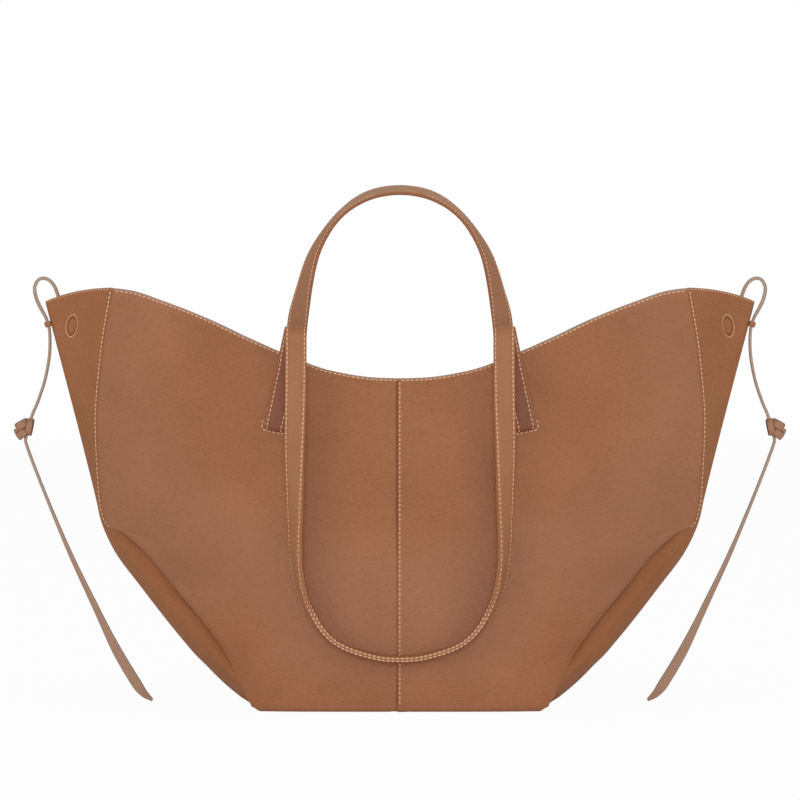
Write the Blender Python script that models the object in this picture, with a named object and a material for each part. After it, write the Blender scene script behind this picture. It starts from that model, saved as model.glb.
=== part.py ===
# Winged leather tote bag: four panels, two folding side gussets, a base, a lining, two strap handles
# of unlike length and a lace on each side. Metres, +Z up, front towards -Y, base centre at the origin.
import math

import bmesh
import bpy
import numpy as np
from mathutils import Matrix, Vector

# Leather, lining and clearance
GAP = 0.0003
LEATHER = 0.0022
LINING = 0.0008
LINING_ROOM = 0.0008
FACING = 0.0012
FACING_ROOM = 0.0006
FACING_DEPTH = 0.024
LAYER_INSET = 0.0045

# Rim: it dips at the centre seam, peaks at the side seams and falls a little to the corner folds
RIM_CENTRE_HEIGHT = 0.220
RIM_PEAK_HEIGHT = 0.280
RIM_CORNER_HEIGHT = 0.273
RIM_SEAM_X = 0.1933
RIM_CORNER_X = 0.2412
RIM_CENTRE_DEPTH = 0.068
RIM_SEAM_DEPTH = 0.060
GUSSET_RIM_POWER = 2.3

# Side tips: the narrowest place of each gusset, where the panel's lower edge turns up into the seam
TIP_HEIGHT = 0.125
TIP_SEAM_X = 0.2003
TIP_FOLD_X = 0.2036
TIP_DEPTH = 0.0275
CREASE_TOP_HEIGHT = 0.112
CREASE_TOP_X = 0.1805
SEAM_WIDEST_X = 0.2056

# Foot: the panels and gussets turn under the bag with a soft fold
FOOT_X = 0.096
FOOT_TURN_X = 0.006
FOOT_FOLD_X = 0.103
FOOT_CENTRE_DEPTH = 0.075
FOOT_SEAM_DEPTH = 0.066
BELLY_DEPTH = 0.0775
FOOT_RADIUS = 0.008
FOLD_RADIUS = 0.0045
FOOT_ROUNDNESS = 4.0
RIM_ROUNDNESS = 2.2

# Base
BOARD = 0.002
BOARD_INSET = 0.004
BASE_LINING_INSET = 0.002

# Handle straps
STRAP_WIDTH = 0.0143
STRAP_THICKNESS = 0.0036
STRAP_EDGE = 0.0008
SLIT_X = 0.0843
SLIT_HEIGHT = 0.1868
SLIT_ROOM = 0.0004
STRAP_CREST_X = 0.0703
CREST_HEIGHT = 0.248
LONG_FOLD_RADIUS = 0.005
SHORT_LOOP_FOOT = 0.262
SHORT_SET_BACK = 0.0032
SHORT_LEAN = math.radians(12)
STRAP_LEAN = (SLIT_X - STRAP_CREST_X) / (CREST_HEIGHT - SLIT_HEIGHT)

# Magnets let into the back of the gusset leather
MAGNET_RADIUS = 0.00625
MAGNET_THICKNESS = 0.0012
MAGNET_SKIN = 0.0007
MAGNET_HEIGHT_SHARE = 0.917
MAGNET_FOLD_SHARE = 0.39

# Laces, with the keeper that holds each one on its corner fold
LACE_DIAMETER = 0.004
KEEPER_WALL = 0.0010
KEEPER_ROOM = 0.0005
KEEPER_WIDTH = 0.0036
KNOT_RADIUS = 0.0074
KNOT_OFFSET = 0.0010
KNOT_TOP_ROOM = 0.0005
KNOT_TAIL_ROOM = 0.0010

LEFT = -1
RIGHT = 1
FRONT = -1
BACK = 1


def between(low, high, share):
    return low + (high - low) * share


# Outlines as (height, value) stations, joined by a smooth curve that never overshoots them
PANEL_EDGE = (
    (0.0, FOOT_X),
    (between(0, CREASE_TOP_HEIGHT, 0.34), between(FOOT_X, CREASE_TOP_X, 0.24)),
    (between(0, CREASE_TOP_HEIGHT, 0.72), between(FOOT_X, CREASE_TOP_X, 0.66)),
    (CREASE_TOP_HEIGHT, CREASE_TOP_X),
    (between(CREASE_TOP_HEIGHT, TIP_HEIGHT, 0.46), between(CREASE_TOP_X, TIP_SEAM_X, 0.43)),
    (between(CREASE_TOP_HEIGHT, TIP_HEIGHT, 0.65), between(CREASE_TOP_X, TIP_SEAM_X, 0.80)),
    (TIP_HEIGHT, TIP_SEAM_X),
    (between(TIP_HEIGHT, RIM_PEAK_HEIGHT, 0.10), between(TIP_SEAM_X, SEAM_WIDEST_X, 0.62)),
    (between(TIP_HEIGHT, RIM_PEAK_HEIGHT, 0.41), SEAM_WIDEST_X),
    (between(TIP_HEIGHT, RIM_PEAK_HEIGHT, 0.71), between(RIM_SEAM_X, SEAM_WIDEST_X, 0.66)),
    (RIM_PEAK_HEIGHT, RIM_SEAM_X),
)
PANEL_SPREAD = (
    (0.0, FOOT_X),
    (between(0, CREASE_TOP_HEIGHT, 0.34), between(FOOT_X, CREASE_TOP_X, 0.26)),
    (between(0, CREASE_TOP_HEIGHT, 0.72), between(FOOT_X, CREASE_TOP_X, 0.70)),
    (CREASE_TOP_HEIGHT, between(CREASE_TOP_X, SEAM_WIDEST_X, 0.50)),
    (between(CREASE_TOP_HEIGHT, RIM_PEAK_HEIGHT, 0.18), between(CREASE_TOP_X, SEAM_WIDEST_X, 0.92)),
    (between(CREASE_TOP_HEIGHT, RIM_PEAK_HEIGHT, 0.42), SEAM_WIDEST_X),
    (RIM_PEAK_HEIGHT, RIM_SEAM_X),
)
FOLD_LINE = (
    (0.0, FOOT_FOLD_X),
    (between(0, TIP_HEIGHT, 0.13), between(FOOT_FOLD_X, TIP_FOLD_X, 0.190)),
    (between(0, TIP_HEIGHT, 0.35), between(FOOT_FOLD_X, TIP_FOLD_X, 0.443)),
    (between(0, TIP_HEIGHT, 0.62), between(FOOT_FOLD_X, TIP_FOLD_X, 0.712)),
    (between(0, TIP_HEIGHT, 0.84), between(FOOT_FOLD_X, TIP_FOLD_X, 0.913)),
    (TIP_HEIGHT, TIP_FOLD_X),
    (between(TIP_HEIGHT, RIM_CORNER_HEIGHT, 0.09), between(TIP_FOLD_X, RIM_CORNER_X, 0.08)),
    (RIM_CORNER_HEIGHT, RIM_CORNER_X),
)
SEAM_DEPTH = (
    (0.0, FOOT_SEAM_DEPTH),
    (between(0, TIP_HEIGHT, 0.20), between(TIP_DEPTH, FOOT_SEAM_DEPTH, 0.86)),
    (between(0, TIP_HEIGHT, 0.50), between(TIP_DEPTH, FOOT_SEAM_DEPTH, 0.56)),
    (TIP_HEIGHT, TIP_DEPTH),
    (between(TIP_HEIGHT, RIM_PEAK_HEIGHT, 0.22), between(TIP_DEPTH, RIM_SEAM_DEPTH, 0.06)),
    (between(TIP_HEIGHT, RIM_PEAK_HEIGHT, 0.48), between(TIP_DEPTH, RIM_SEAM_DEPTH, 0.30)),
    (RIM_PEAK_HEIGHT, RIM_SEAM_DEPTH),
)
CENTRE_DEPTH = (
    (0.0, FOOT_CENTRE_DEPTH),
    (between(0, RIM_CENTRE_HEIGHT, 0.22), BELLY_DEPTH),
    (between(0, RIM_CENTRE_HEIGHT, 0.55), between(RIM_CENTRE_DEPTH, BELLY_DEPTH, 0.84)),
    (RIM_CENTRE_HEIGHT, RIM_CENTRE_DEPTH),
)

# Rim of a panel as (share of its half width, share of its rise) stations
RIM_LINE = ((0.0, 0.0), (0.08, 0.008), (0.235, 0.085), (0.42, 0.305), (0.55, 0.489), (0.69, 0.700),
            (0.83, 0.872), (0.92, 0.965), (1.0, 1.0))

# Where the grids of the soft sheets have their lines
FOOT_TURNS = (0.0, 0.34, 0.67, 1.0)
PANEL_SHARES = (0.06, 0.13, 0.21, 0.29, 0.35, 0.39, 0.41, 0.422, 0.430, 0.442, 0.462, 0.50)
WING_SHARES = (0.57, 0.65, 0.73, 0.81, 0.88, 0.94, 1.0)
PANEL_COLUMNS = (0.0, 0.12, 0.25, 0.38, 0.50, 0.61, 0.71, 0.80, 0.88, 0.945, 1.0)
GUSSET_COLUMNS = (0.0, 0.06, 0.15, 0.30, 0.50, 0.72, 0.90, 1.0)
LINING_SHARES = (0.04, 0.14, 0.23, 0.30, 0.36, 0.41, 0.46, 0.56, 0.67, 0.78, 0.89, 0.998)
FACING_COLUMNS = 13
GUSSET_LINING_COLUMNS = (0.0, 0.07, 0.22, 0.50, 0.83)

# Handle routes, right half, with the twist in degrees, from the crest or the leg to the middle
LONG_ROUTE = (
    (0.0689, -0.0820, 0.2060, 4),
    (0.0693, -0.0826, 0.1730, 20),
    (0.0690, -0.0830, 0.1350, 42),
    (0.0686, -0.0834, 0.1010, 59),
    (0.0643, -0.0838, 0.0768, 68),
    (0.0549, -0.0845, 0.0584, 80),
    (0.0447, -0.0850, 0.0478, 90),
    (0.0345, -0.0852, 0.0419, 94),
    (0.0230, -0.0853, 0.0371, 97),
    (0.0112, -0.0853, 0.0340, 98),
    (0.0, -0.0853, 0.0332, 98),
)
SHORT_ROUTE = (
    (0.0690, 0.2760, 32),
    (0.0672, 0.2850, 43),
    (0.0637, 0.3000, 58),
    (0.0600, 0.3100, 66),
    (0.0540, 0.3210, 69),
    (0.0455, 0.3330, 72),
    (0.0360, 0.3420, 71),
    (0.0262, 0.3483, 67),
    (0.0155, 0.3523, 64),
    (0.0, 0.3543, 61),
)

# Lace routes, left side: from the pocket inside the corner, over the rim, through the keeper to the
# knot, and from the knot to the floor
LACE_UPPER = (
    (-0.2258, 0.0000, 0.2560),
    (-0.2292, 0.0000, 0.2680),
    (-0.2326, -0.0004, 0.2775),
    (-0.2345, -0.0008, 0.2825),
    (-0.2374, -0.0010, 0.2866),
    (-0.2417, -0.0010, 0.2888),
    (-0.2459, -0.0004, 0.2877),
    (-0.2482, 0.0000, 0.2836),
    (-0.2483, 0.0002, 0.2795),
    (-0.2469, 0.0002, 0.2740),
    (-0.2443, 0.0000, 0.2685),
    (-0.2410, 0.0000, 0.2625),
    (-0.2394, 0.0000, 0.2580),
    (-0.2383, 0.0000, 0.2530),
    (-0.2380, 0.0000, 0.2437),
    (-0.2388, 0.0000, 0.2332),
    (-0.2417, 0.0000, 0.2186),
    (-0.2466, 0.0000, 0.2040),
    (-0.2502, 0.0000, 0.1955),
)
LACE_TAIL = (
    (-0.2545, 0.0000, 0.1800),
    (-0.2544, 0.0000, 0.1772),
    (-0.2524, 0.0000, 0.1710),
    (-0.2460, 0.0004, 0.1540),
    (-0.2356, 0.0010, 0.1280),
    (-0.2234, 0.0018, 0.0993),
    (-0.2096, 0.0028, 0.0700),
    (-0.1939, 0.0040, 0.0374),
    (-0.1809, 0.0052, 0.0150),
    (-0.1748, 0.0058, 0.0060),
    (-0.1702, 0.0064, 0.0026),
)
KEEPER_HEIGHT = 0.2580


def slopes(places, values):
    # Slopes of a cubic through the stations, limited so that it keeps between them
    steps = np.diff(values) / np.diff(places)
    inner = np.zeros(len(values))
    same = steps[:-1] * steps[1:] > 0
    total = np.where(same, steps[:-1] + steps[1:], 1.0)
    inner[1:-1] = np.where(same, 2 * steps[:-1] * steps[1:] / total, 0.0)
    inner[0] = steps[0]
    inner[-1] = steps[-1]
    return inner


def through(stations, at):
    # Value at a height on the smooth curve through the stations
    places = np.array([s[0] for s in stations])
    values = np.array([s[1] for s in stations])
    slope = slopes(places, values)
    at = np.clip(at, places[0], places[-1])
    k = np.clip(np.searchsorted(places, at, side="right") - 1, 0, len(places) - 2)
    width = places[k + 1] - places[k]
    u = (at - places[k]) / width
    rise = u * u * (3 - 2 * u)
    start = width * slope[k] * u * (1 - u) ** 2
    end = width * slope[k + 1] * u * u * (u - 1)
    return values[k] + (values[k + 1] - values[k]) * rise + start + end


def smooth_route(points, spacing):
    # Points at even spacing on a Catmull-Rom curve through the route's own points; all columns follow
    pts = np.array(points, dtype=float)
    ends = np.vstack([2 * pts[0] - pts[1], pts, 2 * pts[-1] - pts[-2]])
    fine = []
    for i in range(1, len(ends) - 2):
        u = np.linspace(0, 1, 24, endpoint=False)[:, None]
        a, b, c, d = ends[i - 1], ends[i], ends[i + 1], ends[i + 2]
        bend = (2 * a - 5 * b + 4 * c - d) * u**2 + (3 * b - a - 3 * c + d) * u**3
        fine.append(0.5 * (2 * b + (c - a) * u + bend))
    fine.append(pts[-1][None])
    fine = np.vstack(fine)
    along = np.concatenate([[0], np.cumsum(np.linalg.norm(np.diff(fine[:, :3], axis=0), axis=1))])
    count = max(2, round(along[-1] / spacing) + 1)
    wanted = np.linspace(0, along[-1], count)
    return np.column_stack([np.interp(wanted, along, column) for column in fine.T])


def unit(vectors):
    return vectors / np.linalg.norm(vectors, axis=-1, keepdims=True)


def rim_height(t):
    # From the dip at the centre seam to the peak at the side seam
    return between(RIM_CENTRE_HEIGHT, RIM_PEAK_HEIGHT, through(RIM_LINE, np.abs(t)))


def panel_face(t, p):
    # Outer face of the front panels: t from -1 to 1 between the side edges, p from the foot's turned
    # edge (0) over its soft fold (1) to the rim (2)
    turn = np.clip(p, 0, 1) * np.pi / 2
    share = between(FOOT_RADIUS / RIM_PEAK_HEIGHT, 1, np.clip(p - 1, 0, None))
    edge = through(PANEL_EDGE, share * RIM_PEAK_HEIGHT)
    spread = through(PANEL_SPREAD, share * RIM_PEAK_HEIGHT)
    edge_depth = through(SEAM_DEPTH, share * RIM_PEAK_HEIGHT)
    centre_depth = through(CENTRE_DEPTH, share * RIM_CENTRE_HEIGHT)
    power = between(FOOT_ROUNDNESS, RIM_ROUNDNESS, np.clip(share, 0, 1))
    under = 1 - np.sin(turn)
    x = t * (edge - FOOT_TURN_X * under)
    side_share = np.abs(t) * edge / spread
    depth = between(centre_depth, edge_depth, side_share**power) - FOOT_RADIUS * under
    z = share * rim_height(t) * (1 - np.cos(turn))
    return np.stack([x, -depth, z], axis=-1)


def normals(face, a, b, step=1e-4):
    # Outward unit normals of a face function, from its two directions
    along = face(a + step, b) - face(a - step, b)
    up = face(a, b + step) - face(a, np.maximum(b - step, 0))
    return unit(np.cross(along, up))


def gusset_face(q, p):
    # Outer face of the right gusset: q from -1 at the front seam over the corner fold (0) to 1 at the
    # back seam, p as on the panels. A plain V above the tip, a round band below it
    share = between(FOOT_RADIUS / RIM_PEAK_HEIGHT, 1, np.clip(p - 1, 0, None))
    turn = np.clip(p, 0, 1) * np.pi / 2
    one = np.ones_like(q + p)
    seam = panel_face(one, p * one) - normals(panel_face, one, p * one) * (LEATHER + GAP)
    fold_z = share * RIM_CORNER_HEIGHT * (1 - np.cos(turn)) * one
    fold_x = through(FOLD_LINE, fold_z) - FOOT_TURN_X * (1 - np.sin(turn))
    away = np.abs(q)
    half = np.hypot(fold_x - seam[..., 0], seam[..., 1])
    soft = FOLD_RADIUS / half
    flat = (np.sqrt(away**2 + soft**2) - soft) / (np.sqrt(1 + soft**2) - soft)
    open_share = np.clip((share * RIM_PEAK_HEIGHT / TIP_HEIGHT - 0.86) / 0.32, 0, 1)
    vee = open_share**2 * (3 - 2 * open_share)
    out = between(1 - np.cos(np.pi * q / 2), flat, vee)
    x = between(fold_x, seam[..., 0], out)
    y = between(np.sin(np.pi * away / 2), away, vee) * np.abs(seam[..., 1]) * np.sign(q)
    z = between(fold_z, seam[..., 2], 1 - (1 - np.clip(flat, 0, 1)) ** GUSSET_RIM_POWER)
    return np.stack([x, y, z], axis=-1)


def share_to_p(share):
    # Place on a face's second direction of a share of the local rim height
    foot = FOOT_RADIUS / RIM_PEAK_HEIGHT
    return 1 + (np.asarray(share) - foot) / (1 - foot)


def on_panel(x, z):
    # Point and outward normal on the front panels at a given x and height
    t = x / SEAM_WIDEST_X
    for _ in range(30):
        p = share_to_p(z / rim_height(t))
        t = x / panel_face(np.array(1.0), np.array(p))[0]
    p = share_to_p(z / rim_height(t))
    return panel_face(np.array(t), p), normals(panel_face, np.array(t), p)


def material(name, colour, roughness, metallic=0.0):
    made = bpy.data.materials.new(name)
    made.use_nodes = True
    shader = made.node_tree.nodes["Principled BSDF"]
    shader.inputs["Base Color"].default_value = (*colour, 1.0)
    shader.inputs["Roughness"].default_value = roughness
    shader.inputs["Metallic"].default_value = metallic
    made.diffuse_color = (*colour, 1.0)
    return made


def finish(name, bm, mat):
    # Close a bmesh into a named object with its faces outward
    bmesh.ops.remove_doubles(bm, verts=bm.verts, dist=1e-7)
    bmesh.ops.recalc_face_normals(bm, faces=bm.faces)
    mesh = bpy.data.meshes.new(name)
    bm.to_mesh(mesh)
    bm.free()
    mesh.materials.append(mat)
    mesh.shade_smooth()
    mesh.set_sharp_from_angle(angle=math.radians(40))
    piece = bpy.data.objects.new(name, mesh)
    bpy.context.scene.collection.objects.link(piece)
    return piece


def shell(name, outer, inner, mat):
    # Closed sheet between two grids of points, joined round their four borders. The quads are split
    # along diagonals that mirror each other across the bag's middle, so that its layers keep apart
    bm = bmesh.new()
    rows, columns = outer.shape[:2]
    faces = []
    for grid in (outer, inner):
        faces.append([[bm.verts.new(point) for point in row] for row in grid.tolist()])
    top, under = faces
    for i in range(rows - 1):
        for j in range(columns - 1):
            for side in (top, under):
                a, b, c, d = side[i][j], side[i][j + 1], side[i + 1][j + 1], side[i + 1][j]
                across = (a.co + c.co).x * (b.co - a.co).x
                for corners in ((a, b, c), (a, c, d)) if across < 0 else ((a, b, d), (b, c, d)):
                    bm.faces.new(corners)
    for i in range(rows - 1):
        for j in (0, columns - 1):
            bm.faces.new((top[i][j], top[i + 1][j], under[i + 1][j], under[i][j]))
    for j in range(columns - 1):
        for i in (0, rows - 1):
            bm.faces.new((top[i][j], top[i][j + 1], under[i][j + 1], under[i][j]))
    return finish(name, bm, mat)


def layer(face, a, p, near, far):
    # The two grids of a layer that lies from near to far behind a face
    a, p = np.meshgrid(a, p)
    points = face(a, p)
    out = normals(face, a, p)
    return points - out * near, points - out * far


def flip(grids, x_side, y_side):
    return [grid * np.array([x_side, y_side, 1.0]) for grid in grids]


def sweep(name, centres, along, faces, mat, size=(STRAP_WIDTH, STRAP_THICKNESS, STRAP_EDGE)):
    # Flat strap with eased edges: centres along it, its directions there, where its face looks, and
    # its width, thickness and edge
    across = unit(np.cross(faces, along))
    faces = np.cross(along, across)
    w, t, e = size[0] / 2, size[1] / 2, size[2]
    ring = ((w - e, t), (w, t - e), (w, e - t), (w - e, -t), (e - w, -t), (-w, e - t), (-w, t - e), (e - w, t))
    bm = bmesh.new()
    loops = []
    for centre, side, up in zip(centres, across, faces):
        loops.append([bm.verts.new(centre + side * a + up * b) for a, b in ring])
    for first, second in zip(loops, loops[1:]):
        for k in range(len(ring)):
            n = (k + 1) % len(ring)
            bm.faces.new((first[k], first[n], second[n], second[k]))
    bm.faces.new(loops[0])
    bm.faces.new(loops[-1])
    return finish(name, bm, mat)


def build_strap(name, bend, centres, faces, root_end, loop_start, mat):
    # One strap from slit to slit, given as its right half up to the middle. It is parted into two
    # roots, two bends and a loop, with a clearance between their parallel end faces
    along = unit(np.gradient(centres, axis=0))
    along[-1] = (-1.0, 0.0, 0.0)
    mirror = np.array([-1.0, 1.0, 1.0])
    for side_name, hand in (("right", np.ones(3)), ("left", mirror)):
        for piece, first, last in (("root", 0, root_end), (bend, root_end, loop_start)):
            run = centres[first:last + 1].copy()
            if first > 0:
                run[0] += along[first] * GAP / 2
            run[-1] -= along[last] * GAP / 2
            rows = slice(first, last + 1)
            sweep(f"{name}_{side_name}_{piece}", run * hand, along[rows] * hand, faces[rows] * hand, mat)
    half = centres[loop_start:].copy()
    half[0] += along[loop_start] * GAP / 2
    points = np.vstack([half, half[-2::-1] * mirror])
    ways = np.vstack([along[loop_start:], -along[loop_start:][-2::-1] * mirror])
    looks = np.vstack([faces[loop_start:], faces[loop_start:][-2::-1] * mirror])
    sweep(f"{name}_loop", points, ways, looks, mat)


def plate(name, outline, low, high, mat):
    # Flat plate with a given outline, extruded upwards
    bm = bmesh.new()
    face = bm.faces.new([bm.verts.new((x, y, low)) for x, y in outline])
    grown = bmesh.ops.extrude_face_region(bm, geom=[face])
    raised = [v for v in grown["geom"] if isinstance(v, bmesh.types.BMVert)]
    bmesh.ops.translate(bm, verts=raised, vec=(0, 0, high - low))
    return finish(name, bm, mat)


def disc(name, centre, axis, radius, thickness, mat, sides=22):
    bm = bmesh.new()
    turn = Vector(axis).to_track_quat("Z", "Y").to_matrix().to_4x4()
    bmesh.ops.create_cone(
        bm,
        cap_ends=True,
        segments=sides,
        radius1=radius,
        radius2=radius,
        depth=thickness,
        matrix=Matrix.Translation(Vector(centre)) @ turn,
    )
    return finish(name, bm, mat)


def cut(piece, cutter):
    # Subtract a hidden cutter from a piece
    cutter.hide_render = True
    cutter.display_type = "WIRE"
    boolean = piece.modifiers.new("cut", "BOOLEAN")
    boolean.operation = "DIFFERENCE"
    boolean.object = cutter


def tube(name, points, mat):
    # Round lace along a smooth route, with closed ends
    curve = bpy.data.curves.new(name, "CURVE")
    curve.dimensions = "3D"
    curve.bevel_depth = LACE_DIAMETER / 2
    curve.bevel_resolution = 2
    curve.use_fill_caps = True
    spline = curve.splines.new("POLY")
    spline.points.add(len(points) - 1)
    for point, place in zip(spline.points, points):
        point.co = (*place, 1.0)
    curve.materials.append(mat)
    piece = bpy.data.objects.new(name, curve)
    bpy.context.scene.collection.objects.link(piece)
    return piece


def leg_on_panel():
    # Right front strap from its slit up the panel to just below the rim: centres and face directions
    stand_off = STRAP_THICKNESS / 2 + GAP
    place, out = on_panel(SLIT_X, SLIT_HEIGHT)
    above, _ = on_panel(SLIT_X - STRAP_LEAN * 0.01, SLIT_HEIGHT + 0.01)
    up = unit(above - place)
    centres = [place - out * LEATHER, place - out * LEATHER / 2]
    faces = [-up, -up]
    for angle in np.linspace(0, np.pi / 2, 5):
        centres.append(place + stand_off * (out * np.sin(angle) + up * (1 - np.cos(angle))))
        faces.append(out * np.sin(angle) - up * np.cos(angle))
    rim = rim_height(STRAP_CREST_X / RIM_SEAM_X)
    for z in np.linspace(SLIT_HEIGHT + 3 * stand_off, rim - STRAP_EDGE, 7):
        here, normal = on_panel(SLIT_X - STRAP_LEAN * (z - SLIT_HEIGHT), z)
        centres.append(here + normal * stand_off)
        faces.append(normal)
    return np.array(centres), np.array(faces), (place, out, up, unit(np.cross(up, out)))


def slit_cutter(name, place, out, up, side):
    # Box through a panel that leaves room round the strap in its slit
    bm = bmesh.new()
    frame = Matrix((side, up, out)).transposed().to_4x4()
    size = (STRAP_WIDTH + 2 * SLIT_ROOM, STRAP_THICKNESS + 2 * SLIT_ROOM, 4 * LEATHER)
    bmesh.ops.create_cube(bm, size=1.0)
    bmesh.ops.scale(bm, vec=size, verts=bm.verts)
    bmesh.ops.transform(bm, matrix=Matrix.Translation(Vector(place)) @ frame, verts=bm.verts)
    return finish(name, bm, bpy.data.materials["leather"])


def build_body(mats):
    levels = np.concatenate([FOOT_TURNS, share_to_p(PANEL_SHARES), share_to_p(WING_SHARES)])
    columns = np.array(PANEL_COLUMNS)
    columns[0] = GAP / 2 / RIM_SEAM_X
    outer_grids = layer(panel_face, columns, levels, 0, LEATHER)
    for side_name, x_side in (("left", LEFT), ("right", RIGHT)):
        for face_name, y_side in (("front", FRONT), ("back", BACK)):
            grids = flip(outer_grids, x_side, -y_side)
            for grid in grids:
                grid[:, 0, 0] = x_side * GAP / 2
            panel = shell(f"{face_name}_{side_name}_panel", *grids, mats["leather"])
            _, _, seat = leg_on_panel()
            seat = [part * np.array([x_side, -y_side, 1.0]) for part in seat]
            cutter = slit_cutter(f"{face_name}_{side_name}_slit_cutter", *seat)
            cut(panel, cutter)
    half = np.array(GUSSET_COLUMNS)
    across = np.concatenate([-half[:0:-1], half])
    strip = layer(gusset_face, across, levels, 0, LEATHER)
    for side_name, x_side in (("left", LEFT), ("right", RIGHT)):
        gusset = shell(f"{side_name}_gusset", *flip(strip, x_side, 1), mats["leather"])
        for face_name, y_side in (("front", FRONT), ("back", BACK)):
            build_magnet(gusset, side_name, x_side, face_name, y_side, mats)


def build_magnet(gusset, side_name, x_side, face_name, y_side, mats):
    # A magnet in a blind pocket in the back of the gusset leather, under a thin outer skin
    q = np.array(y_side * MAGNET_FOLD_SHARE)
    p = share_to_p(MAGNET_HEIGHT_SHARE)
    hand = np.array([x_side, 1.0, 1.0])
    place = gusset_face(q, p) * hand
    out = normals(gusset_face, q, p) * hand
    room = 2 * LEATHER
    pocket = disc(
        f"{face_name}_{side_name}_magnet_cutter",
        place - out * (MAGNET_SKIN + room / 2),
        out,
        MAGNET_RADIUS + GAP,
        room,
        mats["leather"],
    )
    cut(gusset, pocket)
    depth = MAGNET_SKIN + GAP + MAGNET_THICKNESS / 2
    centre = place - out * depth
    disc(f"{face_name}_{side_name}_magnet", centre, out, MAGNET_RADIUS, MAGNET_THICKNESS, mats["magnet"])


def base_outline(inset):
    # Outline of what lies between the turned feet, counter-clockwise, kept clear by an inset
    front = panel_face(np.linspace(0, 0.93, 8), np.zeros(8))
    side_q = np.linspace(-0.80, 0, 6)
    side_p = np.zeros(6)
    side = gusset_face(side_q, side_p)
    quarter = [(x, y + inset) for x, y, _ in front.tolist()]
    reach = quarter[-1][0]
    quarter += [(max(x - inset, reach), y) for x, y, _ in side.tolist() if y > quarter[-1][1]]
    right = quarter + [(x, -y) for x, y in quarter[-2::-1]]
    return right + [(-x, y) for x, y in right[-2:0:-1]]


def build_base(mats):
    plate("base_panel", base_outline(GAP), 0, LEATHER, mats["leather"])
    board_low = LEATHER + GAP
    plate("base_board", base_outline(BOARD_INSET), board_low, board_low + BOARD, mats["board"])
    lining_low = board_low + BOARD + GAP
    outline = base_outline(BASE_LINING_INSET)
    plate("base_lining", outline, lining_low, lining_low + LINING, mats["lining"])


def build_lining(mats):
    near = LEATHER + LINING_ROOM
    far = near + LINING
    levels = share_to_p(LINING_SHARES)
    reach = 1 - LAYER_INSET / RIM_SEAM_X
    columns = np.linspace(-reach, reach, FACING_COLUMNS)
    sheet = layer(panel_face, columns, levels, near, far)
    facing_levels = share_to_p([1 - FACING_DEPTH / RIM_CENTRE_HEIGHT, LINING_SHARES[-1]])
    facing_near = far + FACING_ROOM
    facing = layer(panel_face, columns, facing_levels, facing_near, facing_near + FACING)
    for face_name, y_side in (("front", FRONT), ("back", BACK)):
        shell(f"{face_name}_lining", *flip(sheet, 1, -y_side), mats["lining"])
        shell(f"{face_name}_rim_facing", *flip(facing, 1, -y_side), mats["leather"])
    half = np.array(GUSSET_LINING_COLUMNS)
    across = np.concatenate([-half[:0:-1], half])
    strip = layer(gusset_face, across, levels, near, far)
    for side_name, x_side in (("left", LEFT), ("right", RIGHT)):
        shell(f"{side_name}_side_lining", *flip(strip, x_side, 1), mats["lining"])


def build_long_handle(mats):
    # Rises from its slits past the rim, folds forward over a slanted crest and hangs down the front
    centres, faces, _ = leg_on_panel()
    rise = unit(np.array([-STRAP_LEAN, 0.0, 1.0]))
    last = centres[-1]
    top = last + rise * (CREST_HEIGHT - last[2]) / rise[2]
    front = np.array([0.0, -1.0, 0.0])
    root_end = len(centres) + 1
    centres = np.vstack([centres, (last + top) / 2, top])
    faces = np.vstack([faces, front, front])
    # The fold is a piece of a helix round the crest line, which halves the strap's lean
    half_lean = math.atan(STRAP_LEAN) / 2
    crest = np.array([math.cos(half_lean), 0.0, math.sin(half_lean)])
    over = np.array([-math.sin(half_lean), 0.0, math.cos(half_lean)])
    angle = np.linspace(0, np.pi, 11)[1:, None]
    ring = over * np.sin(angle) + front * (1 - np.cos(angle)) - crest * math.tan(half_lean) * angle
    centres = np.vstack([centres, top + LONG_FOLD_RADIUS * ring])
    faces = np.vstack([faces, front * np.cos(angle) - over * np.sin(angle)])
    loop_start = len(centres) - 1
    hang = centres[-1]
    first = [(hang[0], hang[1], hang[2], 0), (hang[0], hang[1], hang[2] - 0.012, 0)]
    route = smooth_route(first + list(LONG_ROUTE), 0.0098)[1:]
    along = unit(np.gradient(route[:, :3], axis=0))
    outward = unit(np.cross(along, -front))
    turn = np.radians(route[:, 3:])
    centres = np.vstack([centres, route[:, :3]])
    faces = np.vstack([faces, -front * np.cos(turn) - outward * np.sin(turn)])
    build_strap("long_handle", "fold", centres, faces, root_end, loop_start, mats["strap"])


def build_short_handle(mats):
    # Rises from its slits on the back and stands in an arch that leans back
    centres, faces, _ = leg_on_panel()
    to_back = np.array([1.0, -1.0, 1.0])
    centres = centres * to_back
    faces = faces * to_back
    last = centres[-1]
    lean = math.tan(SHORT_LEAN)
    foot_y = last[1] + SHORT_SET_BACK
    legs = [(x, foot_y + (z - SHORT_LOOP_FOOT) * lean, z, twist) for x, z, twist in SHORT_ROUTE]
    foot_x = last[0] - STRAP_LEAN * (SHORT_LOOP_FOOT - last[2]) * 0.5
    first = [(*centres[-2], 0), (*last, 0), (foot_x, foot_y, SHORT_LOOP_FOOT, 0)]
    route = smooth_route(first + legs, 0.0075)
    route = route[route[:, 2] > last[2] + 0.002]
    along = unit(np.gradient(route[:, :3], axis=0))
    back = np.array([0.0, math.cos(SHORT_LEAN), -math.sin(SHORT_LEAN)])
    outward = unit(np.cross(back, along))
    turn = np.radians(route[:, 3:])
    root_end = len(centres)
    loop_start = root_end + int(np.argmax(route[:, 2] > SHORT_LOOP_FOOT))
    centres = np.vstack([centres, route[:, :3]])
    faces = np.vstack([faces, back * np.cos(turn) - outward * np.sin(turn)])
    build_strap("short_handle", "flex", centres, faces, root_end, loop_start, mats["strap"])


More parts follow.
